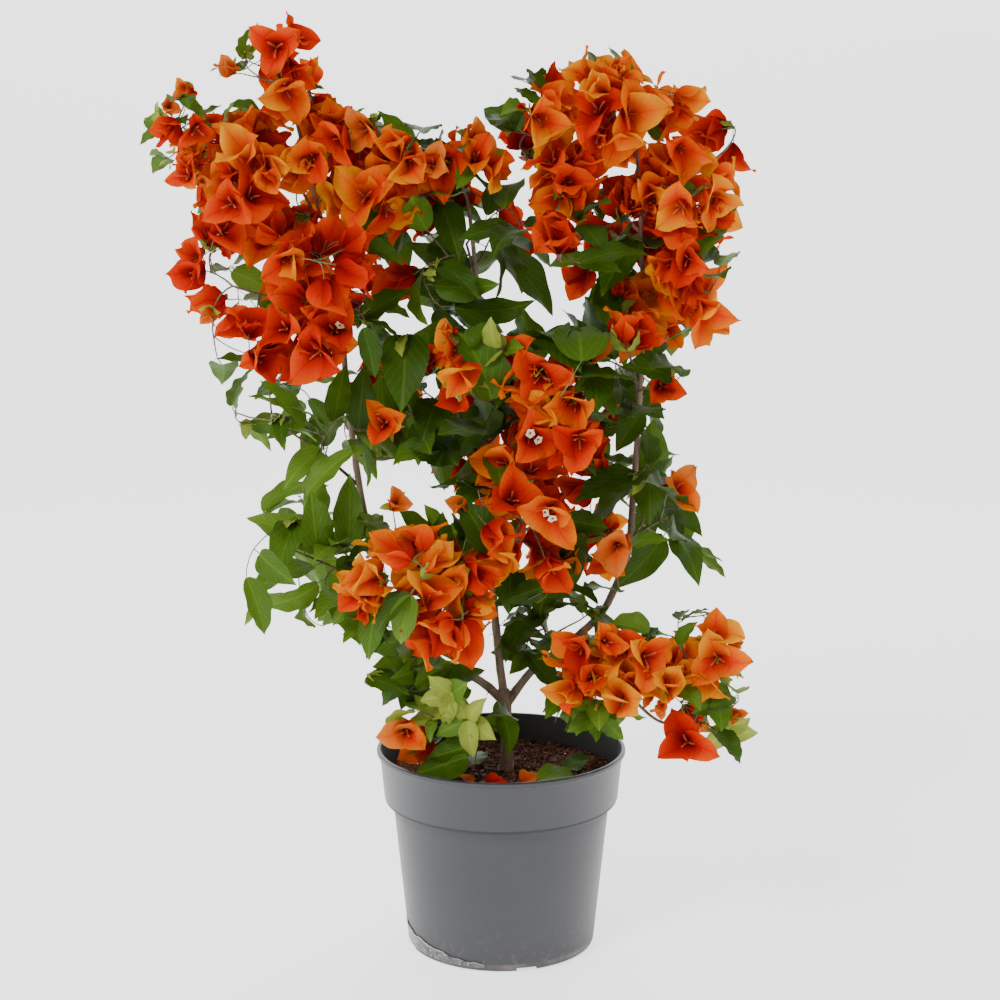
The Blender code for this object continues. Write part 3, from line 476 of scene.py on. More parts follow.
class Sheaf:
    """Many small shapes of one kind, which become one mesh."""

    def __init__(self):
        self.points = []
        self.faces = []
        self.places = []
        self.count = 0

    def add(self, points, faces, places=None):
        """Adds a shape: corners (n, 3), quads (m, 4) and, if its pattern needs it, a place in (0, 1) each."""
        self.points.append(points)
        self.faces.append(faces + self.count)
        self.places.append(np.full((len(points), 2), 0.5) if places is None else places)
        self.count += len(points)

    def tube(self, line, foot_radius, tip_radius, sides):
        """Adds a tapering twig along a line, closed to a point at its end."""
        last = len(line) - 1
        radii = [foot_radius + (tip_radius - foot_radius) * i / last for i in range(last + 1)]
        end = line[-1] + (line[-1] - line[-2]).normalized() * tip_radius
        points = swept([*line, end], [*radii, tip_radius * 0.1], sides)
        self.add(points, ring_faces(last + 2, sides))

    def make(self, name, finish, slot, nodes, smooth=True):
        """Places the shapes as one mesh, which stands for nodes of the solids."""
        points = np.concatenate(self.points).astype(np.float32)
        faces = np.concatenate(self.faces).astype(np.int32)
        places = np.concatenate(self.places).astype(np.float32)
        mesh = bpy.data.meshes.new(name)
        mesh.vertices.add(len(points))
        mesh.vertices.foreach_set("co", points.ravel())
        mesh.loops.add(faces.size)
        mesh.loops.foreach_set("vertex_index", faces.ravel())
        mesh.polygons.add(len(faces))
        mesh.polygons.foreach_set("loop_start", np.arange(0, faces.size, 4, dtype=np.int32))
        mesh.polygons.foreach_set("use_smooth", np.full(len(faces), smooth))
        mesh.update(calc_edges=True)
        mesh.uv_layers.new(name="OFBake").uv.foreach_set("vector", places[faces].ravel())
        mesh.validate()
        placed(name, mesh, finish, nodes)


def placed(name, mesh, finish, nodes):
    """An object of this mesh in the scene, riding on the plant."""
    mesh.materials.append(finish)
    made = bpy.data.objects.new(name, mesh)
    bpy.context.scene.collection.objects.link(made)
    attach(made, "root")
    if nodes:
        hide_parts(*nodes)
    return made


# ---------------------------------------------------------------- leaves and blossoms as sheets
Sheet = namedtuple("Sheet", "rows u v half faces places")


def flat_sheet(rows, columns, foot, fullness, roundness, tip, taper):
    """A flat pointed sheet: u from -1 to 1 across, v from 0 to 1 along, and its outline's half width."""
    v, u = np.meshgrid(np.linspace(0, 1, rows + 1), np.linspace(-1, 1, columns + 1), indexing="ij")
    u, v = u.ravel(), v.ravel()
    point = np.clip((v - (1 - tip)) / tip, 0, 1)
    half = np.sin(np.pi * (foot + (1 - foot) * v) ** fullness) ** roundness * (1 - taper * point**1.2)
    places = np.stack([u * 0.5 * half + 0.5, v * 0.98 + 0.01], axis=1)
    return Sheet(rows, u, v, half, grid_faces(rows, columns), places)


BRACT = flat_sheet(11, 8, foot=0.02, fullness=0.76, roundness=0.60, tip=0.28, taper=0.55)
LEAF = flat_sheet(18, 6, foot=0.012, fullness=0.70, roundness=0.80, tip=0.3, taper=0.4)


def bent_sheet(sheet, root, along_axis, out_axis, length, width, leans, flare, lift, swerve):
    """Corners of a sheet whose middle line leans from along_axis towards out_axis, more so along its length.

    leans are its angles at the foot and the tip, and flare is how late it leans: 1 is an even bend. lift is
    how far each corner stands off that surface, towards along_axis, and swerve how far its tip bends aside.
    """
    rows, v = sheet.rows, sheet.v
    lean_foot, lean_tip = leans
    line_v = np.linspace(0, 1, rows + 1)
    middle = (line_v[1:] + line_v[:-1]) / 2
    lean = lean_foot + (lean_tip - lean_foot) * middle**flare
    forward = np.concatenate([[0], np.cumsum(np.cos(lean))]) * length / rows
    outward = np.concatenate([[0], np.cumsum(np.sin(lean))]) * length / rows
    corner_lean = lean_foot + (lean_tip - lean_foot) * v**flare
    row = np.rint(v * rows).astype(int)
    a, o = np.array(along_axis), np.array(out_axis)
    across = np.cross(a, o)
    ahead = forward[row] + lift * np.sin(corner_lean)
    beside = outward[row] - lift * np.cos(corner_lean)
    sides = sheet.u * sheet.half * width / 2 + swerve * v**2
    return np.array(root) + ahead[:, None] * a + beside[:, None] * o + sides[:, None] * across


def bract_sheet(root, axis, out, length, leans, cup, rng):
    """Corners of one papery bract with a ruffled edge, cupped round the blossom's axis and flaring above."""
    u, v = BRACT.u, BRACT.v
    width = length * BRACT_WIDTH * rng.uniform(0.88, 1.08)
    half = BRACT.half * width / 2
    waves = rng.uniform(1.0, 2.0) * v + rng.random()
    ruffle = np.sin(2 * math.pi * waves + np.sign(u) * rng.uniform(0.6, 1.8))
    crumple = np.sin(u * rng.uniform(2, 4) + v * rng.uniform(5, 9) + rng.uniform(0, 6))
    lift = cup * (1 - rng.uniform(1.1, 1.6) * v) * u**2 * half
    lift += (rng.uniform(0.05, 0.30) * u + rng.uniform(0.08, 0.26) * np.abs(u)) * half
    lift += BRACT_RUFFLE * length * ruffle * np.abs(u) ** 2.2 * np.minimum(1, 2 * v)
    lift += BRACT_CRUMPLE * length * crumple * np.minimum(1, 3 * v)
    lift += BRACT_MIDRIB * length * (1 - np.minimum(1, np.abs(u) * 4)) * np.minimum(1, 2 * (1 - v))
    swerve = rng.uniform(-0.24, 0.24) * length
    return bent_sheet(BRACT, root, axis, out, length, width, leans, rng.uniform(1.3, 2.2), lift, swerve)


def leaf_sheet(root, heading, normal, length, rng, slimness):
    """Corners of one leaf, folded along its midrib, drooping to its tip, with a wavy edge."""
    u, v = LEAF.u, LEAF.v
    width = length * LEAF_WIDTH * slimness * rng.uniform(0.80, 1.16)
    half = LEAF.half * width / 2
    waves = rng.uniform(2.0, 3.8)
    phase = rng.uniform(0, 2 * math.pi)
    edge = np.sin(2 * math.pi * waves * v + phase + np.sign(u) * rng.uniform(0.4, 1.6))
    lift = rng.uniform(0.12, 0.5) * np.abs(u) * half
    lift += LEAF_WAVE * length * edge * u**2 * np.sin(np.pi * np.minimum(1, v * 1.02)) ** 0.5
    level = math.pi / 2
    leans = (level - rng.uniform(0.05, 0.45), level + rng.uniform(0.0, 0.75))
    swerve = rng.uniform(-0.14, 0.14) * length
    return bent_sheet(LEAF, root, normal, heading, length, width, leans, 1.0, lift, swerve)


STAR_SIDES = 20
STAR_RINGS = ((0.25, 0.0), (0.55, 0.0006), (0.8, 0.0010), (1.0, 0.0008))  # (share of its radius, rise)


def star_flower(root, axis, rng):
    """Corners and quads of an open star flower: five notched lobes round a small throat."""
    way = compass(axis, Vector((rng.random(), rng.random(), 0.5)))
    corners = []
    for share, rise in STAR_RINGS:
        for turn in turns_of(STAR_SIDES):
            lobe = 1 - (STAR_NOTCH * abs(math.sin(2.5 * turn)) if share > 0.7 else 0)
            corners.append(root + way(turn) * (STAR_RADIUS * share * lobe) + axis * rise)
    return np.array(corners), ring_faces(len(STAR_RINGS), STAR_SIDES)


# ---------------------------------------------------------------- the plant's frame
def trunk_radius(share, limb):
    """The trunk's radius: a root flare at the soil, then a slow taper, and a swelling at the fork."""
    flare = 0.0048 * math.exp(-share / 0.10)
    fork = 0.0016 * math.exp(-(((share - 0.93) / 0.12) ** 2))
    return limb.foot_radius + (limb.tip_radius - limb.foot_radius) * share + flare + fork


def lay_out_limbs(step):
    """{name: (points, radii)} of every limb. Each roots on its parent's middle line, sunk in its bark."""
    laid = {}
    for limb in LIMBS:
        places = [Vector(p) for p in limb.route]
        facing = Vector((0, 0, 1))
        if limb.parent:
            start, facing = along(laid[limb.parent][0], limb.share)
            if limb.share < 1:
                facing = (places[0] - start).normalized()
            places = [start, *places]
        before = places[0] - facing * (places[1] - places[0]).length
        after = 2 * places[-1] - places[-2]
        points = curve_through(places, before, after, step)
        shares = [i / (len(points) - 1) for i in range(len(points))]
        if limb.parent:
            radii = [limb.foot_radius + (limb.tip_radius - limb.foot_radius) * s for s in shares]
        else:
            radii = [trunk_radius(s, limb) for s in shares]
        laid[limb.name] = (points, radii)
    return laid


def stem_of(mass, laid):
    """The line of the mass's stem, from its limb to the heart of the mass."""
    centre = Vector(mass.centre)
    start, onward = along(laid[mass.limb][0], mass.share)
    facing = onward
    if mass.share < 1:
        facing = (start.lerp(centre, 0.5) + onward * 0.01 - start).normalized()
    bend = start + facing * ((centre - start).length * TWIG_BEND)
    end = centre + (centre - bend).normalized() * (0.15 * min(mass.radii))
    return arc(start, bend, end, 10)


# ---------------------------------------------------------------- spaces
def reach(mass, direction):
    """How far a mass's rounded space reaches from its centre in a direction."""
    return sum(abs(d / r) ** FULLNESS for d, r in zip(direction, mass.radii)) ** (-1 / FULLNESS)


def walls_of(mass):
    """The planes between a mass and its neighbours, as (normal, offset). Its own side is the low one."""
    walls = []
    centre = Vector(mass.centre)
    for other in MASSES:
        span = Vector(other.centre) - centre
        if other is mass or span.length > WALL_REACH:
            continue
        normal = span.normalized()
        own, far = reach(mass, normal), reach(other, normal)
        offset = (span.length_squared + own**2 - far**2) / (2 * span.length)
        walls.append((normal, normal.dot(centre) + offset))
    return walls


def seen(point):
    """Where the photo's eye sees a point, as (x, z) on the plane y = 0."""
    share = EYE.y / (EYE.y - point[1])
    return EYE.x + (point[0] - EYE.x) * share, EYE.z + (point[2] - EYE.z) * share


OUTLINE_FROM = np.array(OUTLINE)
OUTLINE_TO = np.roll(OUTLINE_FROM, -1, axis=0)


def open_to_growth(x, z):
    """Whether the photo shows the crown at (x, z), and not the sky beside it or through it."""
    crossed = (OUTLINE_FROM[:, 1] > z) != (OUTLINE_TO[:, 1] > z)
    (x0, z0), (x1, z1) = OUTLINE_FROM[crossed].T, OUTLINE_TO[crossed].T
    if np.count_nonzero(x < x0 + (x1 - x0) * (z - z0) / (z1 - z0)) % 2 == 0:
        return False
    return all(math.hypot(x - ox, z - oz) > radius for ox, oz, radius in OPENINGS)


def in_bloom_zone(point, scale):
    """Whether the photo shows blossoms where it would show this point."""
    x, z = seen(point)
    return any(((x - zone_x) / wide) ** 2 + ((z - zone_z) / tall) ** 2 < scale**2
               for zone_x, zone_z, wide, tall in BLOOM_ZONES)


def in_space(mass, walls, point):
    """Whether a point is free to grow in: in the mass's space and the photo's crown, and off the pot."""
    away = point - Vector(mass.centre)
    if sum(abs(d / r) ** FULLNESS for d, r in zip(away, mass.radii)) > SPACE_LIMIT:
        return False
    if any(normal.dot(point) > offset + OVERHANG for normal, offset in walls):
        return False
    low, high = CAD_BOX
    if any(not low[k] - REACH_OVER_BOX < point[k] < high[k] + REACH_OVER_BOX for k in range(3)):
        return False
    over_soil = math.hypot(point.x, point.y) < POT_RIM_RADIUS - RIM_WIDTH
    ground = SOIL_TOP if over_soil else POT_HEIGHT
    return point.z > ground + GROUND_ROOM and open_to_growth(*seen(point))


def extent(shape):
    """The middle of a shape's corners and the furthest of them from it."""
    corners = np.array(shape[0])
    centre = corners.mean(axis=0)
    return centre, np.linalg.norm(corners - centre, axis=1).max()


class Crowd:
    """The shapes that have grown so far, which later ones keep clear of."""

    def __init__(self, guards):
        self.guards = guards
        self.trees = []
        self.centres = np.zeros((CROWD_LIMIT, 3))
        self.reaches = np.zeros(CROWD_LIMIT)
        self.leaf_middles = []

    def is_clear(self, shape):
        """Whether a shape cuts into nothing that stands."""
        centre, size = extent(shape)
        count = len(self.trees)
        apart = np.linalg.norm(self.centres[:count] - centre, axis=1)
        near = np.nonzero(apart < self.reaches[:count] + size)[0]
        tree = BVHTree.FromPolygons(*shape)
        if any(tree.overlap(guard) for guard in self.guards):
            return False
        return not any(tree.overlap(self.trees[i]) for i in near)

    def has_room(self, middle, distance):
        """Whether a leaf with its middle here isn't crowded by another."""
        if not self.leaf_middles:
            return True
        apart = np.linalg.norm(np.array(self.leaf_middles) - np.array(middle), axis=1)
        return apart.min() > distance

    def keep(self, shape):
        count = len(self.trees)
        self.centres[count], self.reaches[count] = extent(shape)
        self.trees.append(BVHTree.FromPolygons(*shape))


def guard_tree(line, radius):
    """The search tree of a limb's outside, as a tube with six sides through every second point."""
    line = line[::2] + [line[-1]]
    points = [Vector(p) for p in swept(line, [radius] * len(line), 6)]
    faces = [tuple(int(k) for k in face) for face in ring_faces(len(line), 6)]
    return BVHTree.FromPolygons(points, faces)


BLOSSOM_HINT = Vector((0.3, 0.2, 1.0))


def blossom_outline(root, axis, roll, length, openness):
    """A plain cup in the place of a blossom, smaller than it: (points, faces)."""
    way = compass(axis, BLOSSOM_HINT)
    lean = math.radians(9 + 55 * openness)
    loop = []
    for k in range(6):
        size = (0.86, 0.60)[k % 2] * length
        loop.append(root + (axis * math.cos(lean) + way(roll + k * math.pi / 3) * math.sin(lean)) * size)
    return [*loop, root + axis * 0.003], [(k, (k + 1) % 6, 6) for k in range(6)]


def leaf_outline(root, heading, normal, length):
    """A plain folded blade in the place of a leaf, a little smaller than it: (points, faces)."""
    across = heading.cross(normal).normalized() * (length * LEAF_WIDTH * 0.42)
    base = root + heading * (length * 0.08)
    middle = root + heading * (length * 0.40)
    tip = root + heading * (length * 0.94) - normal * (length * 0.12)
    return [base, middle + across, tip, middle - across], [(0, 1, 2), (0, 2, 3)]


# ---------------------------------------------------------------- growth
KINDS = ("amber", "orange", "flame", "scarlet", "salmon", "dark", "mid", "light", "young",
         "wood", "green_wood", "tubes", "stars")
sheaves = {kind: Sheaf() for kind in KINDS}


def add_blossom(root, axis, roll, length, openness, tint, star_share, rng):
    """A blossom: three bracts round three slim flowers, a few of them open. openness runs from 0 to 1."""
    way = compass(axis, BLOSSOM_HINT)
    cup = rng.uniform(0.6, 1.1)
    for lobe in range(3):
        out = way(roll + lobe * 2 * math.pi / 3 + rng.uniform(-0.16, 0.16))
        own = min(1.0, max(0.0, openness + rng.uniform(-0.34, 0.34)))
        lean_foot = math.radians(4 + 34 * own)
        lean_tip = math.radians(24 + 110 * own * rng.uniform(0.85, 1.1))
        size = length * rng.uniform(0.92, 1.07)
        points = bract_sheet(root + out * 0.0010, axis, out, size, (lean_foot, lean_tip), cup, rng)
        # Painted light and shade: a share of the bracts take a lighter or darker neighbour tint.
        shade = tint
        if rng.random() < NEIGHBOUR_SHARE:
            neighbours = BRACT_NEIGHBOURS[tint]
            shade = neighbours[int(rng.random() * len(neighbours))]
        sheaves[shade].add(points, BRACT.faces, BRACT.places)
        if length < BUD_LIMIT:
            continue
        tilt = math.radians(6 + 22 * own)
        heading = (axis * math.cos(tilt) + out * math.sin(tilt)).normalized()
        tube_end = root + heading * (TUBE_LENGTH * rng.uniform(0.85, 1.15))
        bend = root + axis * (TUBE_LENGTH * 0.5)
        sheaves["tubes"].tube(arc(root + out * 0.0006, bend, tube_end, 4), 0.0012, 0.0010, 5)
        if rng.random() < star_share:
            sheaves["stars"].add(*star_flower(tube_end, (heading + axis).normalized(), rng))


def add_leaf(root, heading, normal, length, tint, rng, slimness=1.0):
    sheaves[tint].add(leaf_sheet(root, heading, normal, length, rng, slimness), LEAF.faces, LEAF.places)


def add_stalk(line, foot_radius=0.0006, tip_radius=0.0005):
    """The green stalk of a leaf or a blossom."""
    sheaves["green_wood"].tube(line, foot_radius, tip_radius, 4)


class Wood:
    """The stem and twigs of one mass, as places where further twigs may fork."""

    def __init__(self, stem, walls, mass):
        inside = [i for i in range(1, len(stem)) if in_space(mass, walls, stem[i])]
        first = inside[0] if inside else len(stem) - 2
        self.points = [np.array(stem[i]) for i in range(first, len(stem))]
        self.headings = [np.array((stem[i] - stem[i - 1]).normalized()) for i in range(first, len(stem))]
        self.radii = [TWIG_RADIUS * 1.2] * len(self.points)

    def fork_for(self, root, heading):
        """The place to fork that a twig to this root, arriving in this heading, leaves most naturally."""
        points = np.array(self.points)
        span = np.array(root) - points
        distance = np.linalg.norm(span, axis=1) + 1e-6
        unit = span / distance[:, None]
        straight = unit @ np.array(heading)
        onward = (unit * np.array(self.headings)).sum(axis=1)
        cost = distance * (1.7 - straight) + 0.010 * (1 - onward) + np.where(distance < 0.012, 0.05, 0)
        best = int(cost.argmin())
        return Vector(self.points[best]), Vector(self.headings[best]), self.radii[best]

    def add(self, line, radius):
        for before, here in zip(line[1:], line[2:]):
            self.points.append(np.array(here))
            self.headings.append(np.array((here - before).normalized()))
            self.radii.append(radius)


def leaf_aim(direction, turn, outward, rng):
    """Heading and upper side of a leaf that leaves a twig of this direction, turned round it."""
    spread = compass(direction, outward + Vector((0, 0, 0.4)))(turn)
    heading = direction * rng.uniform(0.2, 0.6) + spread + outward * 0.3
    heading.z = heading.z * 0.6 + rng.uniform(-0.45, 0.12)
    heading.normalize()
    return heading, sideways(heading, Vector((0, 0, 1)) + outward * rng.uniform(0.7, 1.9))


def hides_bloom(middle, tip):
    """Whether a leaf stands in front of blossoms that the photo shows."""
    return middle.y < LEAF_FRONT and (in_bloom_zone(middle, 0.95) or in_bloom_zone(tip, 0.8))


class Growth:
    """The twigs, blossoms and leaves that grow from one mass's stem."""

    def __init__(self, mass, stem, crowd):
        self.mass = mass
        self.crowd = crowd
        self.rng = random.Random(mass.name)
        self.walls = walls_of(mass)
        self.wood = Wood(stem, self.walls, mass)
        self.bract_length = BRACT_LENGTH * BRACT_SCALES.get(mass.name, 1.0)
        self.slimness = LEAF_SLIMNESS.get(mass.name, 1.0)
        self.star_share = STAR_SHARES.get(mass.name, STAR_SHARE)

    def fits(self, shape):
        """Whether a shape keeps to the mass's space and cuts into nothing."""
        inside = all(in_space(self.mass, self.walls, point) for point in shape[0])
        return inside and self.crowd.is_clear(shape)

    def twig_to(self, root, heading):
        """A twig to a head, a little bent at each node: its line and its radius at the fork."""
        fork, onward, parent_radius = self.wood.fork_for(root, heading)
        span = (root - fork).length
        bend = (root - heading * (span * TWIG_BEND)).lerp(fork + onward * (span * 0.5), 0.35)
        line = arc(fork, bend, root, max(4, round(span / 0.008)))
        for i in range(1, len(line) - 1):
            line[i] = line[i] + scatter(self.rng, 0.0005)
        radius = min(parent_radius * 0.85, TWIG_RADIUS)
        self.wood.add(line, radius * 0.9)
        return line, radius

    def leaves_on(self, line, outward, shares, scale=1.0, tints=None):
        """Leaves along a twig, each turned on from the one before by the golden angle."""
        mass, rng = self.mass, self.rng
        turn = rng.uniform(0, 2 * math.pi)
        for share in shares:
            turn += GOLDEN_TURN
            place, direction = along(line, share)
            for attempt in range(5):
                heading, normal = leaf_aim(direction, turn + attempt * 1.3, outward, rng)
                length = mass.leaf * scale * rng.uniform(0.72, 1.12) * (1 - 0.06 * attempt)
                root = place + heading * (LEAF_STALK * length)
                shape = leaf_outline(root, heading, normal, length)
                middle = root + heading * (length * LEAF_MIDDLE)
                if hides_bloom(middle, root + heading * length):
                    continue
                if self.crowd.has_room(middle, length * LEAF_SPACING[mass.green]) and self.fits(shape):
                    self.crowd.keep(shape)
                    self.crowd.leaf_middles.append(middle)
                    tint = rng.choice(tints or LEAF_TINTS[mass.green])
                    add_leaf(root, heading, normal, length, tint, rng, self.slimness)
                    add_stalk([place, place.lerp(root, 0.5) + Vector((0, 0, 0.0008)), root])
                    break

    def young_tip(self, root, heading):
        """The growing end of a shoot: a few small pale leaves still folded together."""
        for _ in range(3):
            side = sideways(heading, scatter(self.rng, 1))
            aim = (heading + side * self.rng.uniform(0.35, 0.7)).normalized()
            length = max(0.014, self.mass.leaf * self.rng.uniform(0.25, 0.4))
            add_leaf(root, aim, sideways(aim, heading * -1 + Vector((0, 0, 0.5))), length, "young", self.rng)

    def spray(self, line, root, heading, tint):
        """The other blossoms of a spray, which part from one hub below the blossom at a twig's end."""
        rng = self.rng
        side = sideways(heading, scatter(rng, 1))
        hub = root - heading * HUB_DEPTH
        for k in range(rng.choice(SPRAY_SIZES)):
            for attempt in range(6):
                away = (Matrix.Rotation(GOLDEN_TURN * k + attempt * 1.05, 3, heading) @ side).normalized()
                length = self.bract_length * rng.uniform(0.84, 1.04) * (1 - 0.04 * attempt)
                axis = (heading + away * rng.uniform(1.0, 2.6)).normalized()
                foot = hub + axis * rng.uniform(0.010, 0.022)
                roll = rng.uniform(0, 2 * math.pi)
                openness = rng.choice(OPENNESS)
                tip = foot + axis * (length * 0.6)
                if tip.y < BLOOM_FRONT and not in_bloom_zone(tip, 1.1):
                    continue
                shape = blossom_outline(foot, axis, roll, length * SPRAY_SQUEEZE, openness)
                if self.fits(shape):
                    self.crowd.keep(shape)
                    start, onward = along(line, 0.84 - 0.08 * k)
                    add_stalk(arc(start, start + onward * 0.006, foot, 5))
                    add_blossom(foot, axis, roll, length, openness, tint, self.star_share, rng)
                    break

    def buds(self, line):
        """A young tip and three buds near a twig's end."""
        rng = self.rng
        start, onward = along(line, 0.9)
        self.young_tip(start, onward)
        for _ in range(3):
            away = sideways(onward, scatter(rng, 1))
            axis = (onward + away * 0.8).normalized()
            foot = start + axis * rng.uniform(0.012, 0.020)
            add_stalk([start, start.lerp(foot, 0.5), foot], 0.0005, 0.0004)
            roll, length = rng.uniform(0, 6), rng.uniform(*BUD_LENGTHS)
            add_blossom(foot, axis, roll, length, 0.05, rng.choice(("salmon", "flame")), 0.0, rng)

    def lone_shoot(self, shoot):
        """A blossom, bud or leafy tip of its own, which faces outward and to the front."""
        *place, length, tint = shoot
        rng = self.rng
        outward = (Vector(place) - Vector(self.mass.centre)).normalized()
        tilt = Vector((rng.uniform(-0.7, 0.7), -0.7, rng.uniform(-0.9, 0.5)))
        heading = (outward * 0.6 + tilt).normalized()
        root = Vector(place) - heading * (length * 0.55)
        line, radius = self.twig_to(root, heading)
        sheaves["green_wood"].tube(line, radius, TIP_RADIUS, 5)
        roll = rng.uniform(0, 2 * math.pi)
        if tint:
            openness = 0.10 if length < 0.027 else rng.uniform(0.35, 0.75)
            self.crowd.keep(blossom_outline(root, heading, roll, length * HEAD_SQUEEZE, openness))
            add_blossom(root, heading, roll, length, openness, tint, 0.6 if length > 0.041 else 0.0, rng)
        side = sideways(heading, Vector((1, 0, 0.3)))
        count = (0 if length > 0.035 else 2) if tint else 5
        for k in range(count):
            away = Matrix.Rotation(roll + k * GOLDEN_TURN, 3, heading) @ side
            aim = (heading * (0.5 if tint else 0.35) + away).normalized()
            foot = along(line, 1.0 - 0.05 * k)[0]
            size = length * (0.7 if tint else 1.0) * rng.uniform(0.75, 1.1)
            shade = "young" if k % 3 < 2 else "light"
            add_leaf(foot, aim, sideways(aim, heading + Vector((0, 0, 0.5))), size, shade, rng)

    def head(self, outward, shell, number):
        """The mass's next head, with its twig and what that bears. Says whether a place was free for it."""
        mass, rng = self.mass, self.rng
        place = Vector(mass.centre) + outward * (reach(mass, outward) * shell)
        blooms = ((number - 1) * GOLDEN_SHARE + 0.3) % 1 < mass.bloom
        if place.y < BLOOM_FRONT:
            blooms = in_bloom_zone(place, 1.0)
        tilt = scatter(rng, HEAD_TILT)
        front = Vector((0, math.copysign(1, outward.y), 0))
        roll = rng.uniform(0, 2 * math.pi)
        openness = rng.choice(OPENNESS)
        for turn, scale in HEAD_TRIES:
            heading = (outward + front * turn + tilt).normalized()
            if blooms:
                length = self.bract_length * scale * rng.uniform(0.92, 1.1)
                root = place - heading * (length * 0.75)
                shape = blossom_outline(root, heading, roll, length * HEAD_SQUEEZE, openness)
            else:
                length = mass.leaf * scale * rng.uniform(0.8, 1.1)
                root = place - heading * (length * 0.9)
                normal = sideways(heading, Vector((0, 0, 1)) + front * 0.6)
                shape = leaf_outline(root, heading, normal, length)
            if self.fits(shape):
                break
        else:
            return False
        self.crowd.keep(shape)
        line, radius = self.twig_to(root, heading)
        sheaves["wood" if radius > GREEN_RADIUS else "green_wood"].tube(line, radius, TIP_RADIUS, 5)
        span = (line[-1] - line[0]).length
        if blooms:
            tints = BLOSSOM_TINTS[mass.bract]
            tint = tints[number % len(tints)]
            add_blossom(root, heading, roll, length, openness, tint, self.star_share, rng)
            self.spray(line, root, heading, tint)
            if rng.random() <= BUD_SPRAYS:
                self.buds(line)
            shares = (0.86, 0.6, 0.4) if span > 0.03 else (0.8,)
            small_tints = LEAF_TINTS["light" if mass.green == "mid" else "mid"]
            self.leaves_on(line, outward, shares[: 1 + number % 2], 0.72, small_tints)
        else:
            add_leaf(root, heading, normal, length, rng.choice(LEAF_TINTS[mass.green]), rng, self.slimness)
            self.crowd.leaf_middles.append(root + heading * (length * LEAF_MIDDLE))
            leaves = max(2, round(span / 0.015))
            self.leaves_on(line, outward, [0.9 - 0.75 * k / leaves for k in range(leaves)])
        if number % 4 == 0:
            self.young_tip(along(line, 0.9)[0] if blooms else root, heading)
        return True

    def grow(self):
        """First the shoots that stand clear, then heads all round the mass, from its outside in."""
        for shoot in LONE_SHOOTS.get(self.mass.name, ()):
            self.lone_shoot(shoot)
        grown = 0
        for shell in SHELLS:
            for outward in mixed_directions(3 * self.mass.heads, self.rng.uniform(0, 2 * math.pi)):
                if grown == self.mass.heads:
                    return
                if self.head(outward, shell, grown + 1):
                    grown += 1


# ---------------------------------------------------------------- materials
def new_material(name, colour, roughness):
    made = bpy.data.materials.new(name)
    made.use_nodes = True
    shader = made.node_tree.nodes["Principled BSDF"]
    shader.inputs["Base Color"].default_value = (*colour, 1)
    shader.inputs["Roughness"].default_value = roughness
    return made, shader


def node(material, kind, **values):
    """A node of a kind, with values for its properties and, by position, its inputs."""
    made = material.node_tree.nodes.new(kind)
    for name, value in values.items():
        if name.startswith("in"):
            made.inputs[int(name[2:])].default_value = value
        else:
            setattr(made, name, value)
    return made


def link(material, source, target):
    material.node_tree.links.new(source, target)
    return target


def maths(material, operation, a, b=None):
    """The output of a Math node on two values, each a socket or a number."""
    made = node(material, "ShaderNodeMath", operation=operation)
    for socket, value in zip(made.inputs, (a, b)):
        if value is None:
            continue
        if isinstance(value, (int, float)):
            socket.default_value = value
        else:
            link(material, value, socket)
    return made.outputs[0]


def times(material, a, b):
    return maths(material, "MULTIPLY", a, b)


def plus(material, a, b):
    return maths(material, "ADD", a, b)


def minus(material, a, b):
    return maths(material, "SUBTRACT", a, b)


def blend_colours(material, share, first, second):
    """The output of a colour mix, each colour a socket or a tuple."""
    made = node(material, "ShaderNodeMix", data_type="RGBA")
    for socket, value in ((made.inputs[0], share), (made.inputs[6], first), (made.inputs[7], second)):
        if isinstance(value, tuple):
            socket.default_value = (*value, 1)
        elif isinstance(value, float):
            socket.default_value = value
        else:
            link(material, value, socket)
    return made.outputs[2]


def ramp(material, share, stops):
    """The colour at a share along stops of (position, colour)."""
    made = node(material, "ShaderNodeValToRGB")
    elements = made.color_ramp.elements
    while len(elements) < len(stops):
        elements.new(0.5)
    for element, (position, colour) in zip(elements, stops):
        element.position = position
        element.color = (*colour, 1) if isinstance(colour, tuple) else (colour, colour, colour, 1)
    link(material, share, made.inputs[0])
    return made.outputs[0]


def bump(material, shader, height, strength, distance):
    made = node(material, "ShaderNodeBump")
    made.inputs["Strength"].default_value = strength
    made.inputs["Distance"].default_value = distance
    link(material, height, made.inputs["Height"])
    link(material, made.outputs[0], shader.inputs["Normal"])


def sheet_coordinates(material):
    """Sockets of a leaf or bract: across (0 on the midrib, 1 at the widest edge), along, and its place."""
    places = node(material, "ShaderNodeUVMap", uv_map="OFBake")
    parts = node(material, "ShaderNodeSeparateXYZ")
    link(material, places.outputs[0], parts.inputs[0])
    off_midrib = maths(material, "ABSOLUTE", minus(material, parts.outputs[0], 0.5))
    return times(material, off_midrib, 2.0), parts.outputs[1], places.outputs[0]


def vein_mask(material, across, lengthwise, places, count, slope, net_scale):
    """1 on the midrib and less on the side veins and on the fine net between them."""
    midrib = ramp(material, across, ((0.0, 1.0), (0.035, 0.9), (0.07, 0.0)))
    rising = minus(material, lengthwise, times(material, across, slope))
    wave = maths(material, "PINGPONG", times(material, rising, float(count)), 0.5)
    side = ramp(material, wave, ((0.0, 0.8), (0.05, 0.5), (0.11, 0.0)))
    cells = node(material, "ShaderNodeTexVoronoi", voronoi_dimensions="2D", feature="DISTANCE_TO_EDGE")
    cells.inputs["Scale"].default_value = net_scale
    link(material, places, cells.inputs["Vector"])
    net = ramp(material, cells.outputs[0], ((0.0, 0.45), (0.05, 0.2), (0.10, 0.0)))
    return maths(material, "MAXIMUM", midrib, maths(material, "MAXIMUM", side, net))


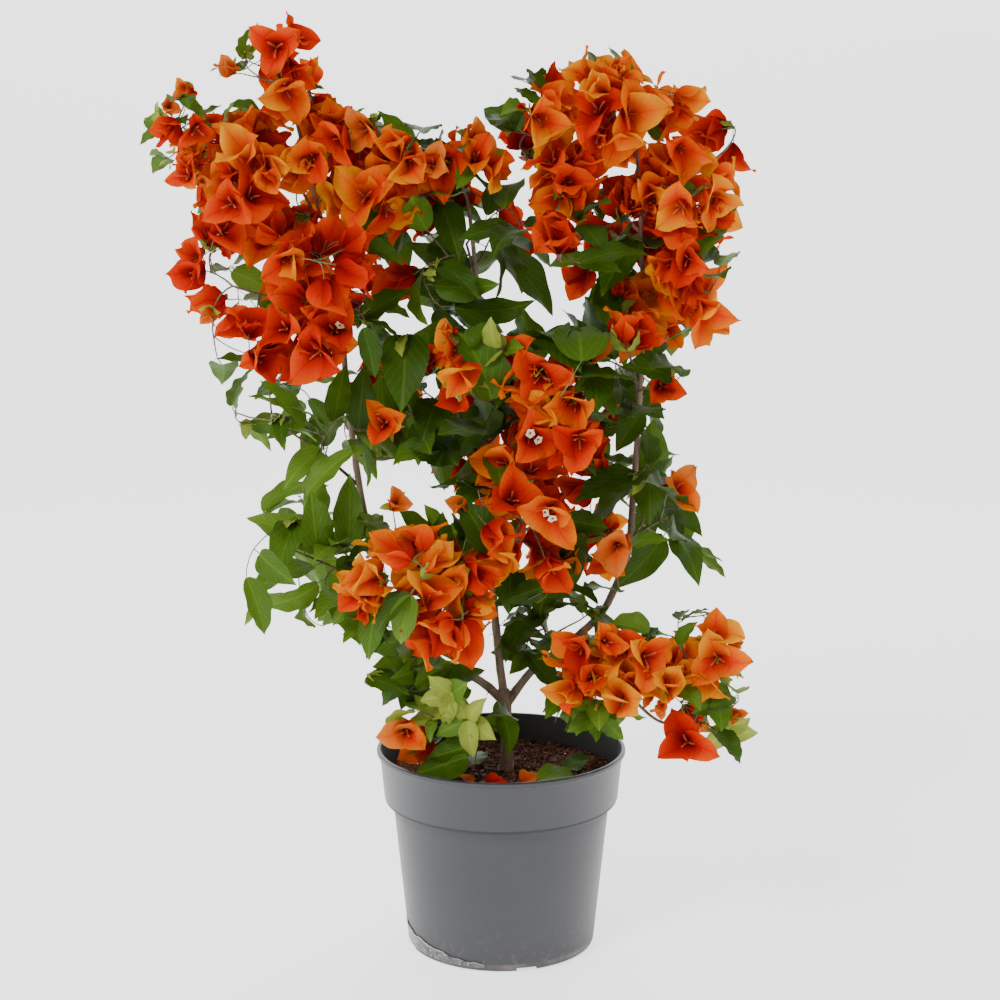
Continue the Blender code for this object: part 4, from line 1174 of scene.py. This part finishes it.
def translucent(material, shader, colour, share):
    """Lets a share of the light that falls on a thin sheet through it."""
    through = node(material, "ShaderNodeBsdfTranslucent")
    if isinstance(colour, tuple):
        through.inputs[0].default_value = (*colour, 1)
    else:
        link(material, colour, through.inputs[0])
    mixed = node(material, "ShaderNodeMixShader", in0=share)
    link(material, shader.outputs[0], mixed.inputs[1])
    link(material, through.outputs[0], mixed.inputs[2])
    output = next(n for n in material.node_tree.nodes if n.type == "OUTPUT_MATERIAL")
    link(material, mixed.outputs[0], output.inputs[0])


def bract_material(name, foot, middle, tip, vein):
    """Papery bract: deep at its foot and paler to its tip and edge, partly its own colour and partly painted
    shade in the cup and painted light through the thin tip and edge, with a dark midrib and net of veins.
    """
    made, shader = new_material(name, middle, 0.55)
    across, lengthwise, places = sheet_coordinates(made)
    # Deep at the foot, paler to the tip and edge: partly the bract's own colour, partly painted shade in the
    # cup and painted light through the thin tip and edge.
    shade = plus(made, times(made, lengthwise, 0.75), times(made, across, 0.4))
    ground = ramp(made, shade, ((0.08, foot), (0.46, middle), (0.90, tip)))
    veins = vein_mask(made, across, lengthwise, places, 7, 0.38, 17)
    strength = times(made, veins, ramp(made, lengthwise, ((0.1, 0.34), (0.8, 0.18))))
    colour = blend_colours(made, strength, ground, vein)
    link(made, colour, shader.inputs["Base Color"])
    shader.inputs["Specular IOR Level"].default_value = 0.02
    bump(made, shader, veins, 0.35, 0.0006)
    translucent(made, shader, colour, 0.35)
    return made


def leaf_material(name, colour, pale, roughness):
    """Glossy leaf: a paler midrib and side veins, darker between them."""
    made, shader = new_material(name, colour, roughness)
    across, lengthwise, places = sheet_coordinates(made)
    veins = vein_mask(made, across, lengthwise, places, 6, 0.55, 22)
    deep = tuple(channel * 0.72 for channel in colour)
    ground = blend_colours(made, ramp(made, across, ((0.0, 0.2), (0.8, 1.0))), colour, deep)
    veined = blend_colours(made, times(made, veins, 0.55), ground, pale)
    link(made, veined, shader.inputs["Base Color"])
    shader.inputs["Specular IOR Level"].default_value = 0.13
    shader.inputs["Coat Weight"].default_value = 0.015
    shader.inputs["Coat Roughness"].default_value = 0.25
    bump(made, shader, minus(made, 1.0, veins), 0.4, 0.0007)
    translucent(made, shader, pale, 0.18)
    return made


def object_noise(material, scale, detail, stretch=(1, 1, 1), roughness=0.55):
    """The value of a noise in the object's own place, stretched along its axes."""
    places = node(material, "ShaderNodeTexCoord")
    mapping = node(material, "ShaderNodeMapping")
    mapping.inputs["Scale"].default_value = stretch
    link(material, places.outputs["Object"], mapping.inputs[0])
    made = node(material, "ShaderNodeTexNoise")
    made.inputs["Scale"].default_value = scale
    made.inputs["Detail"].default_value = detail
    made.inputs["Roughness"].default_value = roughness
    link(material, mapping.outputs[0], made.inputs["Vector"])
    return made.outputs[0]


def bark_material(name, dark, light, scale, roughness):
    made, shader = new_material(name, dark, roughness)
    streaks = object_noise(made, scale, 6, (1, 1, 0.22))
    specks = object_noise(made, scale * 5, 3)
    colour = ramp(made, streaks, ((0.35, dark), (0.68, light)))
    pale = tuple(min(1.0, channel * 1.6) for channel in light)
    spotted = blend_colours(made, ramp(made, specks, ((0.62, 0.0), (0.72, 0.5))), colour, pale)
    link(made, spotted, shader.inputs["Base Color"])
    height = plus(made, streaks, times(made, specks, 0.4))
    bump(made, shader, height, 0.6, 0.001)
    return made


def by_height(material, level, foot, span, stops):
    """The value at a level along stops of (position, value), where 0 is at foot and 1 is a span above it."""
    return ramp(material, times(material, minus(material, level, foot), 1 / span), stops)


def pot_inside(material, parts):
    """1 on the inner wall, which takes painted shade, and which at every height of the band lies closer to
    the axis than the outer one.
    """
    level = parts.outputs[2]
    round_x, round_y = (maths(material, "POWER", parts.outputs[k], 2.0) for k in (0, 1))
    radius = maths(material, "SQRT", plus(material, round_x, round_y))
    shifted = minus(material, radius, times(material, minus(material, level, BAND_FOOT), BAND_LEAN))
    depth = times(material, minus(material, shifted, BAND_FOOT_RADIUS - 0.0024), 1000.0)
    in_band = maths(material, "GREATER_THAN", level, BAND_FOOT + 0.004)
    return times(material, ramp(material, depth, ((0.1, 1.0), (0.9, 0.0))), in_band)


def pot_material():
    """Satin grey plastic: faint upright lines, painted shade on the inner wall and under the band, and dirt
    near the foot.
    """
    grey, pale, dirt = (0.030, 0.0315, 0.036), (0.050, 0.053, 0.059), (0.090, 0.076, 0.060)
    # deep is painted shade for the inner wall and shadow is painted shade under the band; smear is dirt.
    smear, deep, shadow = (0.17, 0.14, 0.125), (0.014, 0.015, 0.015), (0.016, 0.017, 0.019)
    made, shader = new_material("pot_plastic", grey, 0.42)
    places = node(made, "ShaderNodeTexCoord")
    parts = node(made, "ShaderNodeSeparateXYZ")
    link(made, places.outputs["Object"], parts.inputs[0])
    level = parts.outputs[2]
    cloud = object_noise(made, 7, 4)
    colour = blend_colours(made, ramp(made, cloud, ((0.35, 0.0), (0.75, 0.45))), grey, pale)

    low = by_height(made, level, 0.0, 0.2, ((0.02, 0.75), (0.14, 0.25), (0.30, 0.0)))
    specks = ramp(made, object_noise(made, 170, 5), ((0.54, 0.0), (0.62, 0.8)))
    colour = blend_colours(made, times(made, low, specks), colour, dirt)
    ring = by_height(made, level, 0.0, 0.02, ((0.10, 0.0), (0.22, 0.55), (0.34, 0.55), (0.44, 0.0)))
    smears = ramp(made, object_noise(made, 24, 4), ((0.42, 0.0), (0.58, 1.0)))
    colour = blend_colours(made, times(made, ring, smears), colour, smear)
    # Painted shade: the inner wall is darkened to near black, the shadow inside the pot.
    inside = pot_inside(made, parts)
    colour = blend_colours(made, inside, colour, deep)
    # Painted shade: a dark line just under the band, where its overhang shades the body.
    under_band_shade_stops = ((0.0, 0.0), (0.52, 0.30), (0.62, 0.8), (0.80, 0.8), (0.86, 0.0))
    crease = by_height(made, level, BAND_FOOT - 0.016, 0.02, under_band_shade_stops)
    colour = blend_colours(made, crease, colour, shadow)
    link(made, colour, shader.inputs["Base Color"])

    rough = plus(made, 0.30, times(made, cloud, 0.14))
    # Rougher with the dirt near the foot, and on the inner wall and under the band, which dulls the sheen
    # there.
    rougher = plus(made, times(made, low, 0.2), times(made, inside, 0.4))
    rougher = plus(made, rougher, times(made, crease, 0.5))
    link(made, plus(made, rough, rougher), shader.inputs["Roughness"])
    shader.inputs["Specular IOR Level"].default_value = 0.42
    lines = object_noise(made, 60, 3, (1, 1, 0.04))
    grain = object_noise(made, 900, 2)
    bump(made, shader, plus(made, times(made, lines, 0.6), times(made, grain, 0.25)), 0.25, 0.0004)
    return made


def speckled_material(name, dark, light, scale, roughness):
    """A rough loose stuff such as peat, whose tone changes from grain to grain."""
    made, shader = new_material(name, dark, roughness)
    grain = object_noise(made, scale, 4)
    link(made, ramp(made, grain, ((0.35, dark), (0.7, light))), shader.inputs["Base Color"])
    bump(made, shader, grain, 0.8, 0.002)
    return made


# ---------------------------------------------------------------- pot, soil and limbs
POT_SIDES = 160


def pot_profile():
    """The pot's wall in section, from the middle of its underside over the rim to the middle of its floor."""
    body_top = BAND_FOOT_RADIUS - BAND_STEP
    return (
        (0.0, 0.0),
        (POT_FOOT_RADIUS - 0.006, 0.0),
        (POT_FOOT_RADIUS - 0.003, 0.0003),
        (POT_FOOT_RADIUS - 0.0008, 0.0014),
        (POT_FOOT_RADIUS, 0.0035),
        (POT_FOOT_RADIUS + 0.0005, 0.008),
        (body_top - 0.0006, BAND_FOOT - 0.012),
        (body_top, BAND_FOOT - 0.006),
        (body_top + 0.0012, BAND_FOOT - 0.0042),
        (BAND_FOOT_RADIUS - 0.0025, BAND_FOOT - 0.0024),
        (BAND_FOOT_RADIUS - 0.0008, BAND_FOOT - 0.0012),
        (BAND_FOOT_RADIUS, BAND_FOOT + 0.001),
        (POT_RIM_RADIUS - 0.0032, POT_HEIGHT - 0.0068),
        (POT_RIM_RADIUS - 0.0022, POT_HEIGHT - 0.0052),
        (POT_RIM_RADIUS - 0.0002, POT_HEIGHT - 0.0042),
        (POT_RIM_RADIUS, POT_HEIGHT - 0.0030),
        (POT_RIM_RADIUS - 0.0001, POT_HEIGHT - 0.0012),
        (POT_RIM_RADIUS - 0.0012, POT_HEIGHT - 0.0002),
        (POT_RIM_RADIUS - 0.0026, POT_HEIGHT),
        (POT_RIM_RADIUS - 0.0038, POT_HEIGHT - 0.0005),
        (POT_RIM_RADIUS - 0.0046, POT_HEIGHT - 0.0020),
        (BAND_FOOT_RADIUS - POT_WALL - 0.001, BAND_FOOT + 0.002),
        (body_top - POT_WALL, BAND_FOOT - 0.006),
        (POT_FOOT_RADIUS - POT_WALL - 0.001, POT_FLOOR),
        (0.0, POT_FLOOR),
    )


def smoothed_mesh(work, name, angle):
    mesh = bpy.data.meshes.new(name)
    bmesh.ops.recalc_face_normals(work, faces=work.faces)
    work.to_mesh(mesh)
    work.free()
    mesh.shade_smooth()
    mesh.set_sharp_from_angle(angle=math.radians(angle))
    return mesh


def notch_cutter(turn):
    """A block across the foot's edge at a turn round the pot."""
    work = bmesh.new()
    bmesh.ops.create_cube(work, size=1)
    bmesh.ops.scale(work, vec=(2 * NOTCH_DEPTH, NOTCH_WIDTH, 2 * NOTCH_HEIGHT), verts=work.verts)
    middle = Vector((math.cos(turn), math.sin(turn), 0)) * POT_FOOT_RADIUS
    work.transform(Matrix.Translation(middle) @ Matrix.Rotation(turn, 4, "Z"))
    mesh = bpy.data.meshes.new("notch_cutter")
    work.to_mesh(mesh)
    work.free()
    cutter = bpy.data.objects.new("notch_cutter", mesh)
    bpy.context.scene.collection.objects.link(cutter)
    return cutter


def make_pot():
    work = bmesh.new()
    corners = [work.verts.new((radius, 0, height)) for radius, height in pot_profile()]
    edges = [work.edges.new(pair) for pair in zip(corners, corners[1:])]
    bmesh.ops.spin(work, geom=corners + edges, cent=(0, 0, 0), axis=(0, 0, 1), angle=2 * math.pi,
                   steps=POT_SIDES)
    bmesh.ops.remove_doubles(work, verts=work.verts, dist=1e-5)
    pot = placed("pot_shell", smoothed_mesh(work, "pot_shell", 35), pot_material(), ["pot"])
    bpy.context.view_layer.objects.active = pot
    for turn in turns_of(NOTCH_COUNT):
        cutter = notch_cutter(NOTCH_TURN + turn)
        cut = pot.modifiers.new("notch", "BOOLEAN")
        cut.operation = "DIFFERENCE"
        cut.object = cutter
        bpy.ops.object.modifier_apply(modifier=cut.name)
        bpy.data.objects.remove(cutter)


def inner_radius(height):
    """The radius of the pot's inside at a height."""
    inside = pot_profile()[-5:-1]
    for (r1, z1), (r0, z0) in zip(inside, inside[1:]):
        if z0 <= height <= z1:
            return r0 + (r1 - r0) * (height - z0) / (z1 - z0)
    return inside[0][0]


def soil_height(x, y):
    """The height of the soil's surface: low at the wall, heaped a little round the trunk, and lumpy."""
    edge = inner_radius(SOIL_TOP) - 0.001
    out = math.hypot(x, y) / edge
    heap = 0.004 * math.exp(-((x - 0.005) ** 2 + (y + 0.010) ** 2) / 0.0009)
    lumps = 0.0035 * noise.noise(Vector((x, y, 0)) * 45) + 0.0018 * noise.noise(Vector((x, y, 3)) * 130)
    return SOIL_TOP - 0.003 * out**3 + heap + lumps * (1 - 0.4 * out) - 0.001


def level_circle(radius, sides):
    """The (x, y) of corners round a level circle."""
    return [(radius * math.cos(turn), radius * math.sin(turn)) for turn in turns_of(sides)]


def make_soil():
    rings, sides = 46, 120
    edge = inner_radius(SOIL_TOP) - 0.0006
    middle = 0.02  # the size of the innermost ring, of the space between two rings
    corners = []
    for i in range(rings):
        circle = level_circle(edge * (i + middle) / (rings - 1 + middle), sides)
        corners += [(x, y, soil_height(x, y)) for x, y in circle]
    below = [(radius - SOIL_SLACK, height) for radius, height in pot_profile()[-4:-2]]
    below += [(inner_radius(POT_FLOOR + 0.002) - SOIL_SLACK, POT_FLOOR + GAP), (0.001, POT_FLOOR + GAP)]
    for radius, height in below:
        corners += [(x, y, height) for x, y in level_circle(radius, sides)]
    ground = Sheaf()
    ground.add(np.array(corners), ring_faces(rings + 4, sides))
    peat = speckled_material("peat", (0.035, 0.012, 0.006), (0.15, 0.052, 0.022), 160, 0.95)
    ground.make("soil_bed", peat, "soil", ["soil"])
    make_crumbs(peat)


CRUMB_FACES = np.array([(0, 1, 2, 3), (4, 7, 6, 5), (0, 4, 5, 1), (1, 5, 6, 2), (2, 6, 7, 3), (3, 7, 4, 0)])
CRUMB_CORNERS = np.array([(x, y, z) for z in (-1, 1) for x, y in ((-1, -1), (1, -1), (1, 1), (-1, 1))]) * 0.5


def crumb(x, y, size, stretch, rng):
    """Corners of an irregular crumb that lies on the soil."""
    turn = rng.uniform(0, 6.3)
    spin = Matrix.Rotation(turn, 3, scatter(rng, 1).normalized())
    jitter = np.array([[rng.uniform(-0.22, 0.22) for _ in range(3)] for _ in range(8)])
    corners = (CRUMB_CORNERS + jitter) * np.array((size * stretch, size, size * 0.8))
    return corners @ np.array(spin).T + np.array((x, y, soil_height(x, y) + size * 0.2))


def make_crumbs(peat):
    """Loose crumbs of peat, fibres and pale specks of perlite on the soil."""
    rng = random.Random("soil")
    edge = inner_radius(SOIL_TOP) - 0.004
    fibre = speckled_material("fibre", (0.06, 0.03, 0.016), (0.16, 0.08, 0.04), 200, 0.9)
    perlite = speckled_material("perlite", (0.55, 0.53, 0.48), (0.8, 0.78, 0.74), 400, 0.8)
    kinds = (  # name, material, count, smallest, largest, stretch
        ("peat_crumbs", peat, 5200, 0.0012, 0.0042, 1.0),
        ("peat_fibres", fibre, 900, 0.0006, 0.0011, 8.0),
        ("perlite", perlite, 170, 0.0009, 0.0021, 1.1),
    )
    for name, finish, count, least, most, stretch in kinds:
        loose = Sheaf()
        for _ in range(count):
            out = edge * math.sqrt(rng.random())
            turn = rng.uniform(0, 2 * math.pi)
            size = least + (most - least) * rng.random() ** 2
            loose.add(crumb(out * math.cos(turn), out * math.sin(turn), size, stretch, rng), CRUMB_FACES)
        loose.make(name, finish, "soil", ["soil"], smooth=False)


def bark_relief(point, share, turn, depth):
    """How far the bark stands in or out: lengthwise ridges and fine cracks."""
    around = Vector((math.cos(turn), math.sin(turn), 0))
    ridges = noise.noise(Vector((around.x * 2.2, around.y * 2.2, point.z * 30 + share * 3)))
    cracks = abs(noise.noise(Vector((around.x * 5, around.y * 5, point.z * 90))))
    return depth * (ridges - 0.7 * cracks)


def limb_corners(line, radii, sides, depth, knob_height):
    """Corners of a limb's rings with its bark's relief, and with knobs where old leaves stood."""
    corners = swept(line, radii, sides)
    for i, point in enumerate(line):
        share = i / (len(line) - 1)
        knob = knob_height * math.exp(-((i % KNOB_STEP - KNOB_STEP / 2) / 1.6) ** 2)
        centre = np.array(point)
        for k, turn in enumerate(turns_of(sides)):
            swell = 1 + bark_relief(point, share, turn, depth) + knob * max(0.0, math.cos(turn - i * 0.4))
            corners[i * sides + k] = centre + (corners[i * sides + k] - centre) * swell
    end = line[-1] + (line[-1] - line[-2]).normalized() * radii[-1]
    cap = np.array(end) + (corners[-sides:] - np.array(line[-1])) * 0.05
    return np.concatenate([corners, cap])


def add_thorns(wood, line, radii, rng):
    """Short curved thorns along a bough."""
    for i in range(6, len(line) - 6, THORN_STEP):
        direction = (line[i + 1] - line[i]).normalized()
        out = sideways(direction, scatter(rng, 1))
        foot = line[i] + out * (radii[i] * 0.7)
        tip = foot + out * THORN_LENGTH - direction * 0.0012
        wood.tube(arc(foot, foot + out * 0.003 + direction * 0.0006, tip, 3), 0.0007, 0.0002, 5)


def make_limbs(laid):
    """The trunk and boughs with the relief of their bark, and the boughs' knobs and thorns."""
    wood = Sheaf()
    rng = random.Random("limbs")
    for name, (line, radii) in laid.items():
        if name == "trunk":
            wood.add(limb_corners(line, radii, 28, 0.22, 0.0), ring_faces(len(line) + 1, 28))
            continue
        wood.add(limb_corners(line, radii, 16, 0.13, 0.14), ring_faces(len(line) + 1, 16))
        add_thorns(wood, line, radii, rng)
    bark = bark_material("bark", (0.12, 0.078, 0.048), (0.34, 0.26, 0.18), 70, 0.82)
    wood.make("trunk_and_boughs", bark, "bark", [limb.name for limb in LIMBS])


def outer_radius(height):
    """The radius of the pot's outside below its band."""
    foot = (POT_FOOT_RADIUS + 0.0005, 0.008)
    top = (BAND_FOOT_RADIUS - BAND_STEP, BAND_FOOT - 0.006)
    share = (height - foot[1]) / (top[1] - foot[1])
    return foot[0] + (top[0] - foot[0]) * share


def make_film():
    """The torn remains of a clear label round the pot's foot: thin creased film with a curled upper edge."""
    rows, columns = 14, 150
    u, v = np.meshgrid(np.linspace(0, 1, columns + 1), np.linspace(0, 1, rows + 1))
    corners, places = [], []
    for share, rise in zip(u.ravel(), v.ravel()):
        turn = math.radians(FILM_TURNS[0] + (FILM_TURNS[1] - FILM_TURNS[0]) * share)
        torn = 0.0030 * noise.noise(Vector((share * 9, 0, 2)))
        torn += 0.0012 * noise.noise(Vector((share * 40, 0, 5)))
        top = FILM_HEIGHTS[0] + (FILM_HEIGHTS[1] - FILM_HEIGHTS[0]) * share**0.8 + torn
        height = FILM_FOOT + (top - FILM_FOOT) * rise
        crease = 0.0004 * abs(noise.noise(Vector((share * 30, rise * 5, 1)))) + 0.0007 * rise**8
        radius = outer_radius(height) + 0.0002 + crease
        corners.append((radius * math.cos(turn), radius * math.sin(turn), height))
        places.append((share, rise))
    film = Sheaf()
    film.add(np.array(corners), grid_faces(rows, columns), np.array(places))
    film.make("label_residue", film_material(), "pot", [])


def film_material():
    """Cloudy film over the pot's grey, with pale flecks, caught specks of peat and a whitish torn edge that
    is partly a painted highlight.
    """
    made, shader = new_material("label_film", (0.12, 0.115, 0.118), 0.3)
    cloud = object_noise(made, 55, 5)
    colour = ramp(made, cloud, ((0.35, (0.050, 0.050, 0.053)), (0.7, (0.135, 0.130, 0.130))))
    places = node(made, "ShaderNodeUVMap", uv_map="OFBake")
    parts = node(made, "ShaderNodeSeparateXYZ")
    link(made, places.outputs[0], parts.inputs[0])
    # Whitish upper edge: partly the torn film's own pale edge, partly a painted highlight along its curl.
    edge = ramp(made, parts.outputs[1], ((0.0, 0.0), (0.88, 0.05), (0.96, 0.75)))
    colour = blend_colours(made, edge, colour, (0.42, 0.41, 0.40))
    flecks = ramp(made, object_noise(made, 300, 3), ((0.56, 0.0), (0.62, 0.8)))
    colour = blend_colours(made, flecks, colour, (0.30, 0.29, 0.28))
    specks = ramp(made, object_noise(made, 210, 3), ((0.56, 0.0), (0.60, 0.9)))
    link(made, blend_colours(made, specks, colour, (0.050, 0.016, 0.010)), shader.inputs["Base Color"])
    bump(made, shader, cloud, 0.4, 0.0008)
    return made


# ---------------------------------------------------------------- the whole plant
# What lies on the soil: (x, y, turn, length, tint).
FALLEN = (
    (0.034, -0.046, 0.35, 0.052, "light"), (0.060, -0.010, 0.2, 0.030, "dark"),
    (-0.030, -0.050, 2.0, 0.022, "salmon"), (0.020, -0.050, 1.0, 0.024, "salmon"),
    (-0.014, -0.056, 0.3, 0.020, "scarlet"),
)


def add_fallen():
    """A fallen leaf, and small curled sheets for a dry one and a few bracts."""
    rng = random.Random("fallen")
    for x, y, turn, length, tint in FALLEN:
        root = Vector((x, y, soil_height(x, y) + 0.004))
        heading = Vector((math.cos(turn), math.sin(turn), 0.05)).normalized()
        up = sideways(heading, Vector((0.1, -0.2, 1)))
        if tint == "light":
            add_leaf(root, heading, up, length, tint, rng)
        else:
            curled = bract_sheet(root, up, heading, length, (1.3, 1.7), 0.3, rng)
            sheaves[tint].add(curled, BRACT.faces, BRACT.places)


def make_plant():
    laid = lay_out_limbs(LINE_STEP)
    stems = [stem_of(mass, laid) for mass in MASSES]
    guards = [guard_tree(line[::4] + [line[-1]], max(radii) + 0.001) for line, radii in laid.values()]
    crowd = Crowd(guards)
    for mass, stem in zip(MASSES, stems):
        sheaves["wood"].tube(stem, STEM_FOOT_RADIUS, STEM_TIP_RADIUS, 8)
        Growth(mass, stem, crowd).grow()
    add_fallen()
    make_limbs(laid)


# Colours of a bract at its foot, middle and tip, and of its veins; the deep foot and the pale tip are partly
# painted shade and light.
BRACTS = {
    "amber": ((0.54, 0.014, 0.001), (0.72, 0.110, 0.001), (0.78, 0.37, 0.001), (0.44, 0.012, 0.001)),
    "orange": ((0.40, 0.005, 0.001), (0.68, 0.034, 0.001), (0.77, 0.220, 0.001), (0.30, 0.004, 0.001)),
    "flame": ((0.29, 0.003, 0.001), (0.56, 0.011, 0.001), (0.74, 0.090, 0.001), (0.21, 0.002, 0.001)),
    "scarlet": ((0.17, 0.002, 0.001), (0.39, 0.004, 0.001), (0.64, 0.030, 0.001), (0.13, 0.001, 0.001)),
    "salmon": ((0.44, 0.030, 0.003), (0.62, 0.100, 0.010), (0.68, 0.22, 0.032), (0.33, 0.020, 0.005)),
}
BLOOM_SLOTS = {"amber": "amber_bloom", "orange": "orange_bloom", "flame": "orange_bloom",
               "scarlet": "scarlet_bloom", "salmon": "salmon_bloom"}
# A leaf's colour, the paler one of its veins, and its roughness.
LEAVES = {
    "dark": ((0.027, 0.069, 0.004), (0.083, 0.155, 0.014), 0.50),
    "mid": ((0.052, 0.122, 0.007), (0.125, 0.22, 0.020), 0.50),
    "light": ((0.084, 0.172, 0.012), (0.17, 0.28, 0.030), 0.48),
    "young": ((0.28, 0.35, 0.042), (0.40, 0.47, 0.08), 0.50),
}


def make_pieces():
    """Joins what has grown into pieces, each kind apart."""
    for tint, colours in BRACTS.items():
        finish = bract_material(f"bract_{tint}", *colours)
        sheaves[tint].make(f"bracts_{tint}", finish, BLOOM_SLOTS[tint], MASS_NAMES)
    for tint, (colour, pale, roughness) in LEAVES.items():
        finish = leaf_material(f"leaf_{tint}", colour, pale, roughness)
        sheaves[tint].make(f"leaves_{tint}", finish, "leaves", MASS_NAMES)
    brown = bark_material("twig_bark", (0.075, 0.05, 0.028), (0.17, 0.12, 0.065), 180, 0.7)
    green = bark_material("green_bark", (0.055, 0.085, 0.022), (0.13, 0.16, 0.05), 220, 0.6)
    sheaves["wood"].make("twigs_brown", brown, "bark", MASS_NAMES)
    sheaves["green_wood"].make("twigs_green", green, "leaves", MASS_NAMES)
    tube = speckled_material("flower_tube", (0.24, 0.020, 0.008), (0.52, 0.085, 0.014), 300, 0.6)
    star = speckled_material("star_flower", (0.78, 0.66, 0.42), (0.86, 0.78, 0.58), 300, 0.6)
    sheaves["tubes"].make("flower_tubes", tube, "scarlet_bloom", MASS_NAMES)
    sheaves["stars"].make("star_flowers", star, "salmon_bloom", MASS_NAMES)


# ---------------------------------------------------------------- stage, light and camera
def make_stage():
    """A pale floor that sweeps up into a backdrop."""
    half, depth, front, curve, height = 5.0, 3.4, -5.0, 1.3, 4.0
    foot = depth - curve
    section = [(front, 0.0), (foot, 0.0)]
    section += [(foot + curve * math.sin(a), curve - curve * math.cos(a))
                for a in (math.pi / 2 * k / 16 for k in range(1, 17))]
    section.append((depth, height))
    corners = [(x, y, z) for y, z in section for x in (-half, half)]
    faces = [(2 * i, 2 * i + 1, 2 * i + 3, 2 * i + 2) for i in range(len(section) - 1)]
    mesh = bpy.data.meshes.new("studio_floor")
    mesh.from_pydata(corners, [], faces)
    mesh.shade_smooth()
    finish, shader = new_material("studio_paper", (0.88, 0.88, 0.88), 0.9)
    shader.inputs["Emission Color"].default_value = (1, 1, 1, 1)
    shader.inputs["Emission Strength"].default_value = 1.5
    mesh.materials.append(finish)
    floor = bpy.data.objects.new("studio_floor", mesh)
    bpy.context.scene.collection.objects.link(floor)


AREA_LIGHTS = (  # name, place, power in watts, size
    ("key", (-1.4, -2.2, 2.6), 88, 1.0),
    ("fill", (2.2, -1.6, 1.4), 8, 1.8),
    ("side", (-1.9, -0.35, 0.75), 14, 0.9),
    ("back", (0.6, 1.6, 2.4), 22, 1.6),
)
LIGHT_AIM = Vector((0, 0, 0.45))


def make_world():
    """Soft light from all round, strongest from the level and weaker from above."""
    world = bpy.data.worlds.new("studio")
    world.use_nodes = True
    background = world.node_tree.nodes["Background"]
    background.inputs[1].default_value = 0.92
    directions = node(world, "ShaderNodeTexCoord")
    parts = node(world, "ShaderNodeSeparateXYZ")
    link(world, directions.outputs["Generated"], parts.inputs[0])
    height = plus(world, times(world, parts.outputs[2], 0.5), 0.5)
    glow = ramp(world, height, ((0.48, 0.95), (0.56, 0.80), (0.70, 0.34), (1.0, 0.30)))
    link(world, glow, background.inputs[0])
    bpy.context.scene.world = world


def make_lights():
    for name, place, power, size in AREA_LIGHTS:
        light = bpy.data.lights.new(name, "AREA")
        light.energy = power
        light.size = size
        lamp = bpy.data.objects.new(name, light)
        lamp.location = place
        lamp.rotation_euler = (LIGHT_AIM - Vector(place)).to_track_quat("-Z", "Y").to_euler()
        bpy.context.scene.collection.objects.link(lamp)


CAMERA_PITCH = math.radians(90 - 9.65)


def make_camera():
    data = bpy.data.cameras.new("camera")
    data.sensor_width = 36
    data.lens = 72
    camera = bpy.data.objects.new("camera", data)
    camera.location = EYE
    camera.rotation_euler = (CAMERA_PITCH, 0, 0)
    bpy.context.scene.collection.objects.link(camera)
    bpy.context.scene.camera = camera


make_camera()
make_stage()
make_world()
make_lights()
make_pot()
make_film()
make_soil()
make_plant()
make_pieces()
